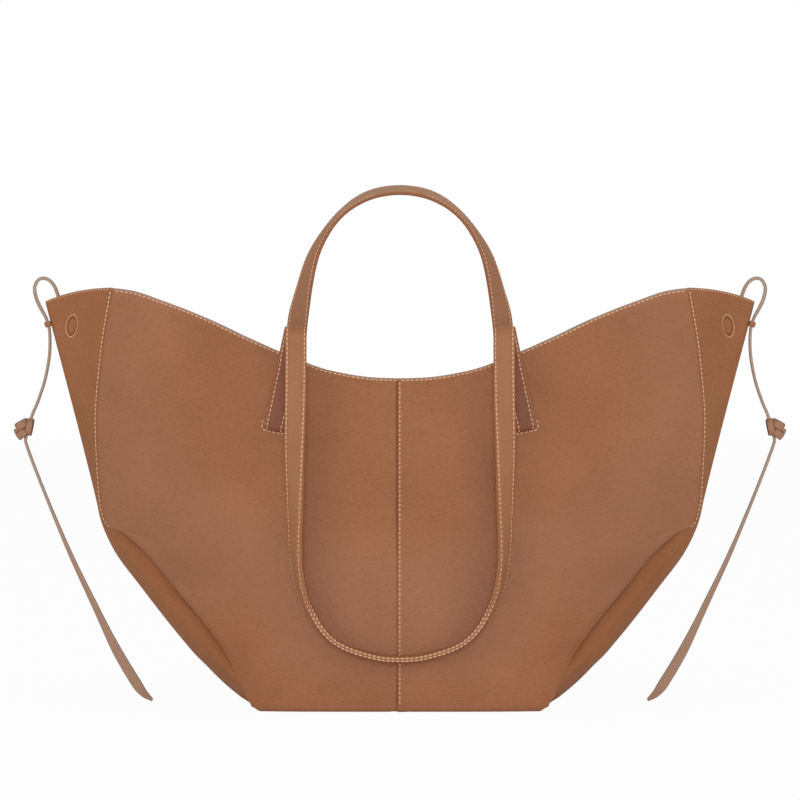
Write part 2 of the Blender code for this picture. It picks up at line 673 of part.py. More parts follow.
def build_laces(mats):
    for side_name, x_side in (("left", LEFT), ("right", RIGHT)):
        hand = np.array([-x_side, 1.0, 1.0])
        upper = smooth_route(LACE_UPPER, 2.6 * LACE_DIAMETER) * hand
        tail = smooth_route(LACE_TAIL, 2.6 * LACE_DIAMETER) * hand
        tube(f"{side_name}_lace_upper", upper, mats["lace"])
        tube(f"{side_name}_lace_tail", tail, mats["lace"])
        build_knot(f"{side_name}_lace_knot", upper[-1], tail[0], x_side, mats)
        build_keeper(f"{side_name}_lace_keeper", upper, x_side, mats)


def build_knot(name, top, bottom, x_side, mats):
    # Knot between the two stretches of lace: three round turns side by side, off the lace's line
    axis = Vector(bottom - top)
    length = axis.length - KNOT_TOP_ROOM - KNOT_TAIL_ROOM
    middle = Vector(top) + axis.normalized() * (KNOT_TOP_ROOM + length / 2)
    middle.x += x_side * KNOT_OFFSET
    turn = axis.to_track_quat("Z", "Y").to_matrix().to_4x4()
    profile = []
    steps = 12
    for k in range(steps + 1):
        share = k / steps
        bulge = math.sin(math.pi * min(max(share, 0.02), 0.98)) ** 0.45
        ridge = 0.90 + 0.10 * abs(math.sin(3 * math.pi * share))
        profile.append((KNOT_RADIUS * bulge * ridge, (share - 0.5) * length))
    bm = bmesh.new()
    ring = [bm.verts.new((0, 0, profile[0][1]))] + [bm.verts.new((r, 0, z)) for r, z in profile]
    ring.append(bm.verts.new((0, 0, profile[-1][1])))
    edges = [bm.edges.new(pair) for pair in zip(ring, ring[1:])]
    bmesh.ops.spin(
        bm, geom=ring + edges, cent=(0, 0, 0), axis=(0, 0, 1), angle=2 * math.pi, steps=12, use_merge=True
    )
    bmesh.ops.remove_doubles(bm, verts=bm.verts, dist=1e-6)
    bmesh.ops.transform(bm, matrix=Matrix.Translation(middle) @ turn, verts=bm.verts)
    return finish(name, bm, mats["lace"])


def build_keeper(name, route, x_side, mats):
    # Leather band round the outside of the lace, with both its ends sewn on the corner fold
    near = int(np.argmax(route[:, 2] > route[:, 2].max() - GAP))
    near += int(np.argmax(route[near:, 2] < KEEPER_HEIGHT))
    step = route[near - 1] - route[near]
    centre = route[near - 1] - step * (route[near - 1][2] - KEEPER_HEIGHT) / step[2]
    down = -unit(step)
    out = unit(np.cross(down, (0.0, x_side, 0.0)))
    side = np.cross(out, down)
    radius = LACE_DIAMETER / 2 + KEEPER_ROOM + KEEPER_WALL / 2
    fold = np.array([x_side * float(through(FOLD_LINE, centre[2])), 0.0, centre[2]])
    leg = (centre - fold) @ out
    angle = np.linspace(-np.pi / 2, np.pi / 2, 9)[:, None]
    looks = out * np.cos(angle) + side * np.sin(angle)
    centres = np.vstack([centre - side * radius - out * leg, centre + radius * looks,
                         centre + side * radius - out * leg])
    looks = np.vstack([-side, looks, side])
    along = np.vstack([out, side * np.cos(angle) - out * np.sin(angle), -out])
    sweep(name, centres, along, looks, mats["strap"], (KEEPER_WIDTH, KEEPER_WALL, KEEPER_WALL / 4))


def build():
    for old in list(bpy.data.objects):
        bpy.data.objects.remove(old, do_unlink=True)
    mats = {
        "leather": material("leather", (0.36, 0.15, 0.07), 0.55),
        "strap": material("strap", (0.34, 0.14, 0.065), 0.5),
        "lining": material("lining", (0.30, 0.20, 0.13), 0.9),
        "board": material("board", (0.25, 0.22, 0.19), 0.9),
        "magnet": material("magnet", (0.55, 0.55, 0.56), 0.3, 1.0),
        "lace": material("lace", (0.23, 0.12, 0.07), 0.6),
    }
    build_body(mats)
    build_base(mats)
    build_lining(mats)
    build_long_handle(mats)
    build_short_handle(mats)
    build_laces(mats)


build()
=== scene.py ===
# Winged leather tote bag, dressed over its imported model: sewn leather, straps, laces, lining and light
import math

import bpy
import numpy as np
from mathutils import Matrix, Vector


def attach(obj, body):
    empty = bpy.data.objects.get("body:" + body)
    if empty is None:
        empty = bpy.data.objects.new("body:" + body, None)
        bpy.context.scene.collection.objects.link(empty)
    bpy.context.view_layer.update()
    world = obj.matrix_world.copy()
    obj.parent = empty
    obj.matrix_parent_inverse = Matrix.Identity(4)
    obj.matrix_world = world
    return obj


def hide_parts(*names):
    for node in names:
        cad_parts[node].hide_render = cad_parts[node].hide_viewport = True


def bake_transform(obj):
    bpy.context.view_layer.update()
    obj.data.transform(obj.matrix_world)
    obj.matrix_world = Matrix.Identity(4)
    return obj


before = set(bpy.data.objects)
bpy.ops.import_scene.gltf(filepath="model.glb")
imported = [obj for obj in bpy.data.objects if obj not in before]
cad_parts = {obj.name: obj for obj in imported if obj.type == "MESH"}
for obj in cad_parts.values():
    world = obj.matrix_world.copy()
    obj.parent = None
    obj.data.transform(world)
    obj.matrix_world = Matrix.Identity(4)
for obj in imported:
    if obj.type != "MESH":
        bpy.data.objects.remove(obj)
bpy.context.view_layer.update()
print("frame loaded")

scene = bpy.context.scene
scene.view_settings.view_transform = "Standard"


def addObject(name, data):
    made = bpy.data.objects.new(name, data)
    scene.collection.objects.link(made)
    return made


# the photograph's view: level, 2.6 m in front of the bag's middle, 0.68 mm to a pixel there
camera = {"height": 0.206, "away": 2.6, "mmAcross": 544.0}
lens = bpy.data.cameras.new("camera")
lens.sensor_width = 36.0
lens.lens = 36.0 * camera["away"] * 1000 / camera["mmAcross"]
lens.clip_end = 60.0
eye = addObject("camera", lens)
eye.location = (0, -camera["away"], camera["height"])
eye.rotation_euler = (math.pi / 2, 0, 0)
scene.camera = eye


def between(low, high, share):
    return low + (high - low) * share


def smoothStep(low, high, x):
    u = np.clip((x - low) / (high - low), 0, 1)
    return u * u * (3 - 2 * u)


def fallOff(low, high, x):
    return 1 - smoothStep(low, high, x)


def hump(x, centre, width):
    # bell curve of height 1
    return np.exp(-(((x - centre) / width) ** 2))


def unit(v):
    return v / np.linalg.norm(v, axis=-1, keepdims=True)


# the bag's shape, the same sizes as the solids, in metres
bag = {
    "gap": 0.0003, "leather": 0.0022, "lining": 0.0008, "liningRoom": 0.0008,
    "facing": 0.0012, "facingRoom": 0.0006, "facingDepth": 0.024, "inset": 0.0045,
    "rimCentre": 0.220, "gussetRim": 2.3, "rimCentreDepth": 0.068, "footTurn": 0.0080,
    "footDepth": 0.0800, "belly": 0.0775, "footRadius": 0.008, "foldRadius": 0.0045,
    "footRound": 4.0, "rimRound": 2.2, "footSquare": 0.45,
}
peakZ, cornerZ, tipZ = 0.280, 0.273, 0.125
seamX, widestX = 0.1933, 0.2056
# (height, value) where the outlines turn: the panels' side edge, the corner fold, the side seam's depth
foot, crease, tip, widest, peak = (0.0, 0.0964), (0.112, 0.1805), (tipZ, 0.2003), (peakZ, widestX), (peakZ, seamX)
foldFoot, foldTip, foldTop = (0.0, 0.1035), (tipZ, 0.2036), (cornerZ, 0.2412)
depthFoot, depthTip, depthRim = (0.0, 0.0774), (tipZ, 0.0275), (peakZ, 0.060)


def stretch(low, high, *shares):
    # stations on the way from one (height, value) to another, by their shares of it
    return [(between(low[0], high[0], up), between(low[1], high[1], out)) for up, out in shares]


outlines = {
    # by height: side edge of the panels, the same where they are widest, corner fold, depth of the side
    # seam and of the centre
    "edge": [
        *stretch(foot, crease, (0, 0), (0.34, 0.24), (0.72, 0.66)),
        *stretch(crease, tip, (0, 0), (0.46, 0.43), (0.65, 0.80)),
        *stretch(tip, widest, (0, 0), (0.10, 0.62), (0.41, 1)),
        *stretch((tipZ, widestX), peak, (0.71, 0.34), (1, 1)),
    ],
    "spread": [
        *stretch(foot, crease, (0, 0), (0.34, 0.26), (0.72, 0.70)),
        *stretch(crease, widest, (0, 0.50), (0.18, 0.92), (0.42, 1)), peak,
    ],
    "fold": [
        *stretch(foldFoot, foldTip, (0, 0), (0.13, 0.190), (0.35, 0.443), (0.62, 0.712), (0.84, 0.913)),
        *stretch(foldTip, foldTop, (0, 0), (0.09, 0.08), (1, 1)),
    ],
    "seamDepth": [
        *stretch(depthFoot, depthTip, (0, 0), (0.20, 0.14), (0.50, 0.44)),
        *stretch(depthTip, depthRim, (0, 0), (0.22, 0.06), (0.48, 0.30), (1, 1)),
    ],
    "centreDepth": [
        (0.0, bag["footDepth"]),
        *stretch((0.0, bag["belly"]), (bag["rimCentre"], bag["rimCentreDepth"]), (0.22, 0), (0.55, 0.16), (1, 1)),
    ],
    # (share of the half width, share of the rise)
    "rim": [(0.0, 0.0), (0.08, 0.008), (0.235, 0.085), (0.42, 0.305), (0.55, 0.489), (0.69, 0.700),
            (0.83, 0.872), (0.92, 0.965), (1.0, 1.0)],
}


def through(stations, at):
    # cubic through the stations with harmonic slopes, so that it never overshoots them
    places, values = np.array(stations).T
    steps = np.diff(values) / np.diff(places)
    same = steps[:-1] * steps[1:] > 0
    total = np.where(same, steps[:-1] + steps[1:], 1.0)
    inner = np.where(same, 2 * steps[:-1] * steps[1:] / total, 0.0)
    slope = np.concatenate([steps[:1], inner, steps[-1:]])
    at = np.clip(at, places[0], places[-1])
    k = np.clip(np.searchsorted(places, at, side="right") - 1, 0, len(places) - 2)
    width = places[k + 1] - places[k]
    u = (at - places[k]) / width
    rise = (values[k + 1] - values[k]) * u * u * (3 - 2 * u)
    return values[k] + rise + width * (slope[k] * u * (1 - u) ** 2 + slope[k + 1] * u * u * (u - 1))


def rimHeight(t):
    # from the dip at the centre seam to the peak at the side seam
    return between(bag["rimCentre"], peakZ, through(outlines["rim"], np.abs(t)))


footShare = bag["footRadius"] / peakZ


def shareOf(p):
    # share of the rise from the floor to the rim, above the foot's fold
    return between(footShare, 1, np.clip(p - 1, 0, None))


def panelFace(t, p):
    # front panels: t across from side edge to side edge (-1 to 1), p up from the foot's turned edge (0)
    # over its quarter-round fold (1) to the rim (2); depth falls from the centre to the edge by a power
    turn = np.clip(p, 0, 1) * np.pi / 2
    share = shareOf(p)
    z = share * peakZ
    edge = through(outlines["edge"], z)
    power = between(bag["footRound"], bag["rimRound"], np.clip(share, 0, 1))
    under = 1 - np.sin(turn) ** bag["footSquare"]
    x = t * (edge - bag["footTurn"] * np.abs(np.cos(turn)) ** (1.6 * bag["footSquare"]))
    sideways = np.abs(t) * edge / through(outlines["spread"], z)
    middle = through(outlines["centreDepth"], share * bag["rimCentre"])
    depth = between(middle, through(outlines["seamDepth"], z), sideways**power) - bag["footRadius"] * under
    return np.stack([x, -depth, share * rimHeight(t) * (1 - np.abs(np.cos(turn)) ** bag["footSquare"])], axis=-1)


def faceNormals(face, a, b, step=1e-4):
    # cross product of the face's two directions
    along = face(a + step, b) - face(a - step, b)
    up = face(a, np.minimum(b + step, 2)) - face(a, np.clip(b - step, 0, 2 - step))
    return unit(np.cross(along, up))


def gussetFace(q, p):
    # right gusset: q from the front seam (-1) over the corner fold (0) to the back seam (1). A soft V
    # above the tip, a round band below it
    share = shareOf(p)
    turn = np.clip(p, 0, 1) * np.pi / 2
    one = np.ones_like(q + p)
    seam = panelFace(one, p * one) - faceNormals(panelFace, one, p * one) * (bag["leather"] + bag["gap"])
    foldZ = share * cornerZ * (1 - np.abs(np.cos(turn)) ** bag["footSquare"]) * one
    foldX = through(outlines["fold"], foldZ) - bag["footTurn"] * (1 - np.sin(turn))
    away = np.abs(q)
    soft = bag["foldRadius"] / np.hypot(foldX - seam[..., 0], seam[..., 1])
    flat = (np.sqrt(away**2 + soft**2) - soft) / (np.sqrt(1 + soft**2) - soft)
    vee = smoothStep(0.86, 1.18, share * peakZ / tipZ)
    band = between(np.abs(np.sin(np.pi * q / 2)), 1 - np.cos(np.pi * q / 2), smoothStep(0.008, 0.036, foldZ))
    out = between(band, flat, vee)
    x = between(foldX, seam[..., 0], out)
    y = between(np.sin(np.pi * away / 2), away, vee) * np.abs(seam[..., 1]) * np.sign(q)
    z = between(foldZ, seam[..., 2], 1 - (1 - np.clip(flat, 0, 1)) ** bag["gussetRim"])
    return np.stack([x, y, z], axis=-1)


def shareToP(share):
    return 1 + (np.asarray(share) - footShare) / (1 - footShare)


def edgeAt(p):
    return through(outlines["edge"], shareOf(p) * peakZ)


def onPanel(x, z):
    # point and outward normal on the front panels at a given x and height
    t = x / widestX
    for _ in range(30):
        p = shareToP(z / rimHeight(t))
        t = x / panelFace(np.array(1.0), np.array(p))[0]
    p = shareToP(z / rimHeight(t))
    return panelFace(np.array(t), p), faceNormals(panelFace, np.array(t), p)


def smoothRoute(points, spacing):
    # Catmull-Rom curve through the points, then even spacing along it; further columns follow
    pts = np.array(points, dtype=float)
    ends = np.vstack([2 * pts[0] - pts[1], pts, 2 * pts[-1] - pts[-2]])
    u = np.linspace(0, 1, 24, endpoint=False)[None, :, None]
    a, b, c, d = (ends[k:len(ends) - 3 + k, None, :] for k in range(4))
    fine = 0.5 * (2 * b + (c - a) * u + (2 * a - 5 * b + 4 * c - d) * u**2 + (3 * b - a - 3 * c + d) * u**3)
    fine = np.vstack([fine.reshape(-1, pts.shape[1]), pts[-1:]])
    return resample(fine, spacing)


def lengthsAlong(path):
    return np.concatenate([[0], np.cumsum(np.linalg.norm(np.diff(path[:, :3], axis=0), axis=1))])


def resample(path, spacing):
    along = lengthsAlong(path)
    wanted = np.linspace(0, along[-1], max(2, round(along[-1] / spacing) + 1))
    return np.column_stack([np.interp(wanted, along, column) for column in path.T])


def gridQuads(rows, columns, wrap=False):
    # quads between neighbours of a point grid, closed round its columns if asked
    i, j = np.meshgrid(np.arange(rows - 1), np.arange(columns if wrap else columns - 1), indexing="ij")
    n = (j + 1) % columns
    here, above = i * columns, (i + 1) * columns
    return np.stack([here + j, here + n, above + n, above + j], -1).reshape(-1, 4)


def facingOut(points, quads):
    # a closed surface with a negative volume is inside out, so its faces are turned
    a, b, c, d = (points[quads[:, k]] for k in range(4))
    volume = np.einsum("ij,ij->i", a, np.cross(b, c)).sum() + np.einsum("ij,ij->i", a, np.cross(c, d)).sum()
    return quads if volume > 0 else quads[:, ::-1]


def closedSheet(points, out, near, far, bulge=0.0005, steps=4, edgeSlot=lambda ring: 1):
    # sheet from near to far behind a grid, with a rounded edge all round: the border is carried from
    # one side to the other by a half ellipse that stands out by the bulge
    rows, columns = points.shape[:2]
    outer, inner = points - out * near, points - out * far
    ids = np.arange(rows * columns).reshape(rows, columns)
    border = np.concatenate([ids[0, :-1], ids[:-1, -1], ids[-1, :0:-1], ids[:0:-1, 0]])
    away = np.zeros((rows, columns, 3))
    for last, before in ((0, 1), (-1, -2)):
        away[last] += unit(outer[last] - outer[before])
        away[:, last] += unit(outer[:, last] - outer[:, before])
    away = unit(away.reshape(-1, 3)[border])
    flatOuter, flatInner = outer.reshape(-1, 3), inner.reshape(-1, 3)
    half = np.linspace(0, np.pi, steps + 1)[1:-1, None, None]
    ring = between(flatOuter[border], flatInner[border], (1 - np.cos(half)) / 2) + away * np.sin(half) * bulge
    allPoints = np.vstack([flatOuter, flatInner, ring.reshape(-1, 3)])
    faces = gridQuads(rows, columns)
    count = rows * columns
    belts = np.vstack([border[None], 2 * count + np.arange(ring.shape[0] * len(border)).reshape(-1, len(border)),
                       count + border[None]])
    this, after = belts[:-1], belts[1:]
    rim = np.stack([this, np.roll(this, -1, 1), np.roll(after, -1, 1), after], -1).reshape(-1, 4)
    quads = np.vstack([faces, faces[:, ::-1] + count, rim[:, ::-1]])
    edge = edgeSlot(flatOuter[border]) * np.ones(len(border), int)
    slots = np.concatenate([np.zeros(2 * len(faces), int), np.tile(edge, steps)])
    return allPoints, quads, slots


def sweep(centres, along, looks, ring, slots, closed=False):
    # closed profile (across, up), or one for each point, carried along a path or round a closed one;
    # looks is where its face points
    across = unit(np.cross(looks, along))
    up = np.cross(along, across)
    points = centres[:, None] + across[:, None] * ring[..., :1] + up[:, None] * ring[..., 1:]
    rows, n = points.shape[:2]
    quads = gridQuads(rows + closed, n, wrap=True) % (rows * n)
    kinds = np.tile(slots, rows - 1 + closed)
    if not closed:
        k = np.arange(n // 2 - 1)
        cap = np.stack([k, k + 1, n - 2 - k, n - 1 - k], -1)
        quads = np.vstack([quads, cap, cap[:, ::-1] + (rows - 1) * n])
        kinds = np.concatenate([kinds, np.zeros(2 * len(cap), int)])
    points = points.reshape(-1, 3)
    return points, facingOut(points, quads), kinds


threadSlot = 2


def stitches(path, out, look):
    # thread on a sewn line: one small spindle for each stitch, whose ends dip into the leather
    track = resample(np.hstack([path, out]), 0.0008)
    along = lengthsAlong(track)
    count = max(1, int(round(along[-1] / look["pitch"])))
    middle = (np.arange(count) + 0.5) * along[-1] / count
    u = np.array([-0.5, -0.44, -0.2, 0.2, 0.44, 0.5])
    at = middle[:, None] + u[None] * look["length"]
    place = np.stack([np.interp(at, along, column) for column in track.T], -1)
    normal = unit(place[..., 3:])
    centre = place[..., :3] + normal * (look["stand"] - look["dip"] * (2 * u[None, :, None]) ** 4)
    way = unit(np.gradient(centre, axis=1))
    side = unit(np.cross(way, normal))
    up = np.cross(side, way)
    radius = look["width"] / 2 * np.array([0.30, 0.75, 1.0, 1.0, 0.75, 0.30])[None, :, None, None]
    angle = np.arange(6) * np.pi / 3
    ring = side[:, :, None] * np.cos(angle)[:, None] + up[:, :, None] * np.sin(angle)[:, None]
    points = (centre[:, :, None] + ring * radius).reshape(-1, 3)
    one = gridQuads(6, 6, wrap=True)
    caps = np.array([[0, 1, 4, 5], [1, 2, 3, 4], [35, 34, 31, 30], [34, 33, 32, 31]])
    one = facingOut(points[:36], np.vstack([one, caps]))
    quads = (np.arange(count)[:, None, None] * 36 + one[None]).reshape(-1, 4)
    return points, quads, np.full(len(quads), threadSlot)


# parts are made for the front and for one side, and are mirrored to the others
sides = (("left", -1), ("right", 1))
fronts = (("front", 1), ("back", -1))


def mirrored(part, x, y):
    return part[0] * (x, y, 1), part[1][:, ::x * y], *part[2:]


def darkened(part, shade):
    # the outer side of a closed sheet takes the painted shade of its grid
    dark = np.zeros(len(part[0]))
    dark[:shade.size] = shade.ravel()
    return *part, dark


def makePiece(name, parts, kind, *nodes, turn=(1, 1), body="bag", tone=None):
    # joins point grids, mirrored by the turn, into one mesh with sharp edges past 50 degrees. Painted shade
    # darkens its leather by a part's fourth entry or by the tone at its points; below 0 it is a painted highlight.
    # The piece rides on its body and stands for the nodes
    parts = [mirrored(part, *turn) for part in parts]
    points = np.vstack([part[0] for part in parts])
    starts = np.cumsum([0] + [len(part[0]) for part in parts[:-1]])
    outward = [part[1] if part[2][0] == threadSlot else facingOut(*part[:2]) for part in parts]
    quads = np.vstack([part + start for part, start in zip(outward, starts)]).astype(np.int32)
    mesh = bpy.data.meshes.new(name)
    mesh.vertices.add(len(points))
    mesh.vertices.foreach_set("co", points.astype(np.float32).ravel())
    mesh.loops.add(quads.size)
    mesh.loops.foreach_set("vertex_index", quads.ravel())
    mesh.polygons.add(len(quads))
    mesh.polygons.foreach_set("loop_start", np.arange(0, quads.size, 4, dtype=np.int32))
    mesh.polygons.foreach_set("material_index", np.concatenate([part[2] for part in parts]).astype(np.int32))
    mesh.update(calc_edges=True)
    shade = np.concatenate([part[3] if len(part) > 3 else np.zeros(len(part[0])) for part in parts])
    shade = shade if tone is None else shade + tone(points)
    dark = mesh.attributes.new("dark", "FLOAT", "POINT")
    dark.data.foreach_set("value", shade.astype(np.float32))
    mesh.shade_smooth()
    mesh.set_sharp_from_angle(angle=math.radians(50))
    face, edge, slot = sets[kind]
    for finish in (face, edge, "thread"):
        mesh.materials.append(finishes[finish])
    piece = addObject(name, mesh)
    if body:
        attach(piece, body)
    if nodes:
        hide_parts(*nodes)
    return piece


def hexColour(code):
    # sRGB hex to linear
    part = [int(code[k:k + 2], 16) / 255 for k in (1, 3, 5)]
    return (*[c / 12.92 if c <= 0.04045 else ((c + 0.055) / 1.055) ** 2.4 for c in part], 1.0)


def fillNode(tree, node, values):
    # values go to the node itself or its inputs: hex colours, plain values, or outputs that are linked
    for key, value in values.items():
        value = hexColour(value) if isinstance(value, str) and value[0] == "#" else value
        if isinstance(value, bpy.types.NodeSocket):
            tree.links.new(value, node.inputs[key])
        elif isinstance(key, str) and hasattr(node, key):
            setattr(node, key, value)
        else:
            node.inputs[key].default_value = value


def addNode(tree, kind, values, output=0):
    node = tree.nodes.new("ShaderNode" + kind)
    fillNode(tree, node, values)
    return node.outputs[output]


def addNoise(tree, place, size, detail, roughness=0.5, output="Fac"):
    values = {"Scale": 1 / size, "Detail": detail, "Roughness": roughness, "Vector": place}
    return addNode(tree, "TexNoise", values, output)


def addRange(tree, value, low, high, first=0.0, last=1.0):
    # first at low to last at high
    values = {"From Min": low, "From Max": high, "To Min": first, "To Max": last, "Value": value}
    return addNode(tree, "MapRange", values, "Result")


def addMix(tree, share, first, second, way="MIX"):
    return addNode(tree, "Mix", {"data_type": "RGBA", "blend_type": way, 0: share, 6: first, 7: second}, 2)


def newMaterial(name):
    # a material with its tree, its shader and the piece's own coordinates
    material = bpy.data.materials.new(name)
    material.use_nodes = True
    tree = material.node_tree
    return material, tree, tree.nodes["Principled BSDF"], addNode(tree, "TexCoord", {}, "Object")


def setShader(tree, shader, colour, height, bump, deep, values):
    # colour, bump from a height and further inputs
    normal = addNode(tree, "Bump", {"Strength": bump, "Distance": deep, "Height": height}, "Normal")
    fillNode(tree, shader, {"Base Color": colour, "Normal": normal, **values})


def pebbledLeather(name, light, shade, roughness, shine, paintedHighlightColour="#FFF6EC", crease=0.89, grain=0.5, ior=1.45,
                   pebble=0.0013):
    # chrome-tanned calf, milled until small rounded pebbles stand between fine creases, with a satin
    # wax finish: soft highlights, creases a little darker, gentle cloudy tone
    material, tree, shader, place = newMaterial(name)
    warp = addNoise(tree, place, 0.004, 2.0, output="Color")
    bent = addNode(tree, "VectorMath", {"operation": "MULTIPLY_ADD", 0: warp, 1: (0.0011,) * 3, 2: place})
    # the pebbles are a little longer than high
    bent = addNode(tree, "VectorMath", {"operation": "MULTIPLY", 0: bent, 1: (0.66, 0.9, 1.25)})
    cells = addNode(tree, "TexVoronoi", {"feature": "SMOOTH_F1", "Scale": 1 / pebble, "Smoothness": 0.35,
                                         "Vector": bent}, "Distance")
    domes = addRange(tree, cells, 0.15, 0.75, 1.0, 0.0)
    pores = addNoise(tree, place, 0.0005, 1.0)
    height = addNode(tree, "Math", {"operation": "MULTIPLY_ADD", 0: pores, 1: 0.18, 2: domes})
    clouds = addRange(tree, addNoise(tree, place, 0.055, 3.0, 0.55), 0.3, 0.7)
    body = addMix(tree, clouds, shade, light)
    grained = addMix(tree, 1.0, body, addRange(tree, domes, 0.0, 0.45, crease), "MULTIPLY")
    # painted shade: darker and redder by the attribute, in grooves, folds and under straps, where shade falls
    dark = addNode(tree, "Attribute", {"attribute_name": "dark"}, "Fac")
    wearAndPaintedLight = addMix(tree, dark, grained, "#B89078", "MULTIPLY")
    # and a painted highlight, paler where the attribute is below 0
    paintedHighlight = addNode(tree, "Math", {"operation": "MULTIPLY", "use_clamp": True, 0: dark, 1: -0.020})
    wearAndPaintedLight = addMix(tree, paintedHighlight, wearAndPaintedLight, paintedHighlightColour)
    gloss = addRange(tree, domes, 0.0, 1.0, roughness + 0.06, roughness - 0.03)
    setShader(tree, shader, wearAndPaintedLight, height, grain, 0.00022, {
        "Roughness": gloss, "IOR": ior, "Specular IOR Level": shine})
    return material


def plainFinish(name, light, shade, size, bump, roughness, shine=0.5, metallic=0.0):
    # a coat or fibre with fine uneven tone: two tones from a noise of a size in mm, and a little bump
    material, tree, shader, place = newMaterial(name)
    grain = addNoise(tree, place, size / 1000, 3.0)
    colour = addMix(tree, grain, shade, light)
    setShader(tree, shader, colour, grain, bump, 0.0001, {
        "Roughness": roughness, "Metallic": metallic, "Specular IOR Level": shine})
    return material


def wovenLining(name, light, shade, yarn):
    # plain-woven cotton: two sets of yarns 0.6 mm apart, drawn 0.9 mm apart so that they show
    material, tree, shader, place = newMaterial(name)
    yarns = {"Scale": 1 / (yarn * 20), "Distortion": 1.2, "Detail Scale": 40.0, "Vector": place}
    warp, weft = (addNode(tree, "TexWave", {**yarns, "bands_direction": way}, "Fac") for way in ("X", "Z"))
    weave = addNode(tree, "Math", {"operation": "MAXIMUM", 0: warp, 1: weft})
    colour = addMix(tree, weave, shade, light)
    setShader(tree, shader, colour, weave, 0.2, 0.0001, {"Roughness": 0.9, "Sheen Weight": 0.2})
    return material


finishes = {
    # milled calf: the body satin, the gussets drier and painted lighter than the body's leather to offset the shade
    # on their sideways faces, the straps pressed smoother and oilier
    "bodyLeather": pebbledLeather("milledCalfBody", "#9A613E", "#905937", 0.56, 0.34),
    "gussetLeather": pebbledLeather("milledCalfGussetPaintedLighter", "#A46D4A", "#9A6544", 0.70, 0.3, ior=1.2),
    "strapLeather": pebbledLeather("milledCalfStrap", "#9E6844", "#96603E", 0.55, 0.45, "#FFDDB5", 0.92, 0.40),
    # acrylic edge coat: several brushed layers, smooth, greyer than the leather but for the straps'
    "edgeCoat": plainFinish("acrylicEdgeCoat", "#A17F66", "#8F6E57", 4.0, 0.1, 0.5),
    "strapCoat": plainFinish("strapEdgeCoat", "#9E643F", "#945A37", 4.0, 0.1, 0.6, 0.35),
    # bonded polyester thread, size 20, matt and pale
    "thread": plainFinish("bondedThread", "#E4BC98", "#CFA27D", 1.2, 0.5, 0.62),
    # leather thong: brown grain on its faces, paler greyish fibre on the cut sides, both painted darker in the knot
    # as shade
    "thongFace": plainFinish("thongGrain", "#AD866D", "#98745D", 1.6, 0.6, 0.6),
    "thongSide": plainFinish("thongCutSide", "#B39C8A", "#9A8573", 1.2, 0.6, 0.75),
    "knotFaceShaded": plainFinish("thongGrainShadedInKnot", "#A5785C", "#90684F", 1.6, 0.6, 0.6),
    "knotSideShaded": plainFinish("thongSideShadedInKnot", "#84614B", "#6E503D", 1.2, 0.6, 0.8, 0.2),
    "lining": wovenLining("plainWovenCotton", "#93785F", "#886E57", 0.0009),
    # grey-brown pressed fibre, matt
    "board": plainFinish("pressedFibreBoard", "#7E7265", "#6A5F54", 2.0, 0.6, 0.9),
    # zinc plate over steel, satin
    "steel": plainFinish("zincPlatedSteel", "#B9BABC", "#A4A5A8", 3.0, 0.1, 0.3, metallic=1.0),
}
print("materials made")

sewing = {"pitch": 0.0031, "length": 0.0024, "width": 0.00095, "stand": -0.00010, "dip": 0.0004}
# finish of the faces and of the edges, before the thread, and the slot
sets = {
    "body": ("bodyLeather", "edgeCoat", "leather"), "gusset": ("gussetLeather", "edgeCoat", "leather"),
    "strap": ("strapLeather", "strapCoat", "strap"), "thong": ("thongFace", "thongSide", "lace"),
    "knot": ("knotFaceShaded", "knotSideShaded", "lace"), "lining": ("lining", "lining", "lining"),
    "thread": ("thread", "thread", "leather"),
}

# laces: the same routes as in the solids, left side, with the routes in mm
lace = {"width": 0.0050, "thick": 0.0022, "keeperHeight": 0.2580, "keeperWidth": 0.0036, "keeperWall": 0.0010,
        "knotAt": (-0.2552, 0.0, 0.1872)}
# (share of its length, turn in degrees or width in mm)
laceTurn = ((0, 80), (0.09, 84), (0.155, 74), (0.23, 86), (0.52, 82), (0.70, 58), (0.80, 36), (0.90, 10), (1, 4))
laceWidth = ((0, 5.0), (0.62, 5.0), (0.80, 5.4), (0.90, 7.0), (0.955, 7.2), (0.985, 4.6), (1, 2.0))
laceUpper = (
    (-225.8, 0, 256), (-229.2, 0, 268), (-232.6, -0.4, 277.5), (-234.5, -0.8, 282.5), (-237.4, -1, 286.6),
    (-241.7, -1, 288.8), (-245.9, -0.4, 287.7), (-248.2, 0, 283.6), (-248.3, 0.2, 279.5), (-246.9, 0.2, 274),
    (-244.3, 0, 268.5), (-241, 0, 262.5), (-239.4, 0, 258), (-238.3, 0, 253), (-238, 0, 243.7),
    (-238.8, 0, 233.2), (-241.7, 0, 218.6), (-246.6, 0, 204), (-250.2, 0, 195.5),
)
laceTail = (
    (-254.5, 0, 180), (-254.4, 0, 177.2), (-252.4, 0, 171), (-246, 0.4, 154), (-235.6, 1, 128),
    (-223.4, 1.8, 99.3), (-209.6, 2.8, 70), (-193.9, 4, 37.4), (-180.9, 5.2, 15), (-174.8, 5.8, 6.4),
    (-170.2, 6.4, 2.6), (-168.8, 6.6, 1.3),
)


def ovalRing(width, thick, count=20, square=3.2):
    # superellipse: flat faces with rounded cut sides, which go to the second slot
    angle = (np.arange(count) + 0.5) * 2 * np.pi / count
    way = np.stack([np.cos(angle), np.sin(angle)], -1)
    ring = np.array([width, thick]) / 2 * np.sign(way) * np.abs(way) ** (2 / square)
    return ring, (np.abs(np.cos(angle + np.pi / count)) > 0.80).astype(int)


def metres(rows, lengths=3):
    # a table in mm, whose further columns stay as they are
    return [tuple(value / 1000 for value in row[:lengths]) + tuple(row[lengths:]) for row in rows]


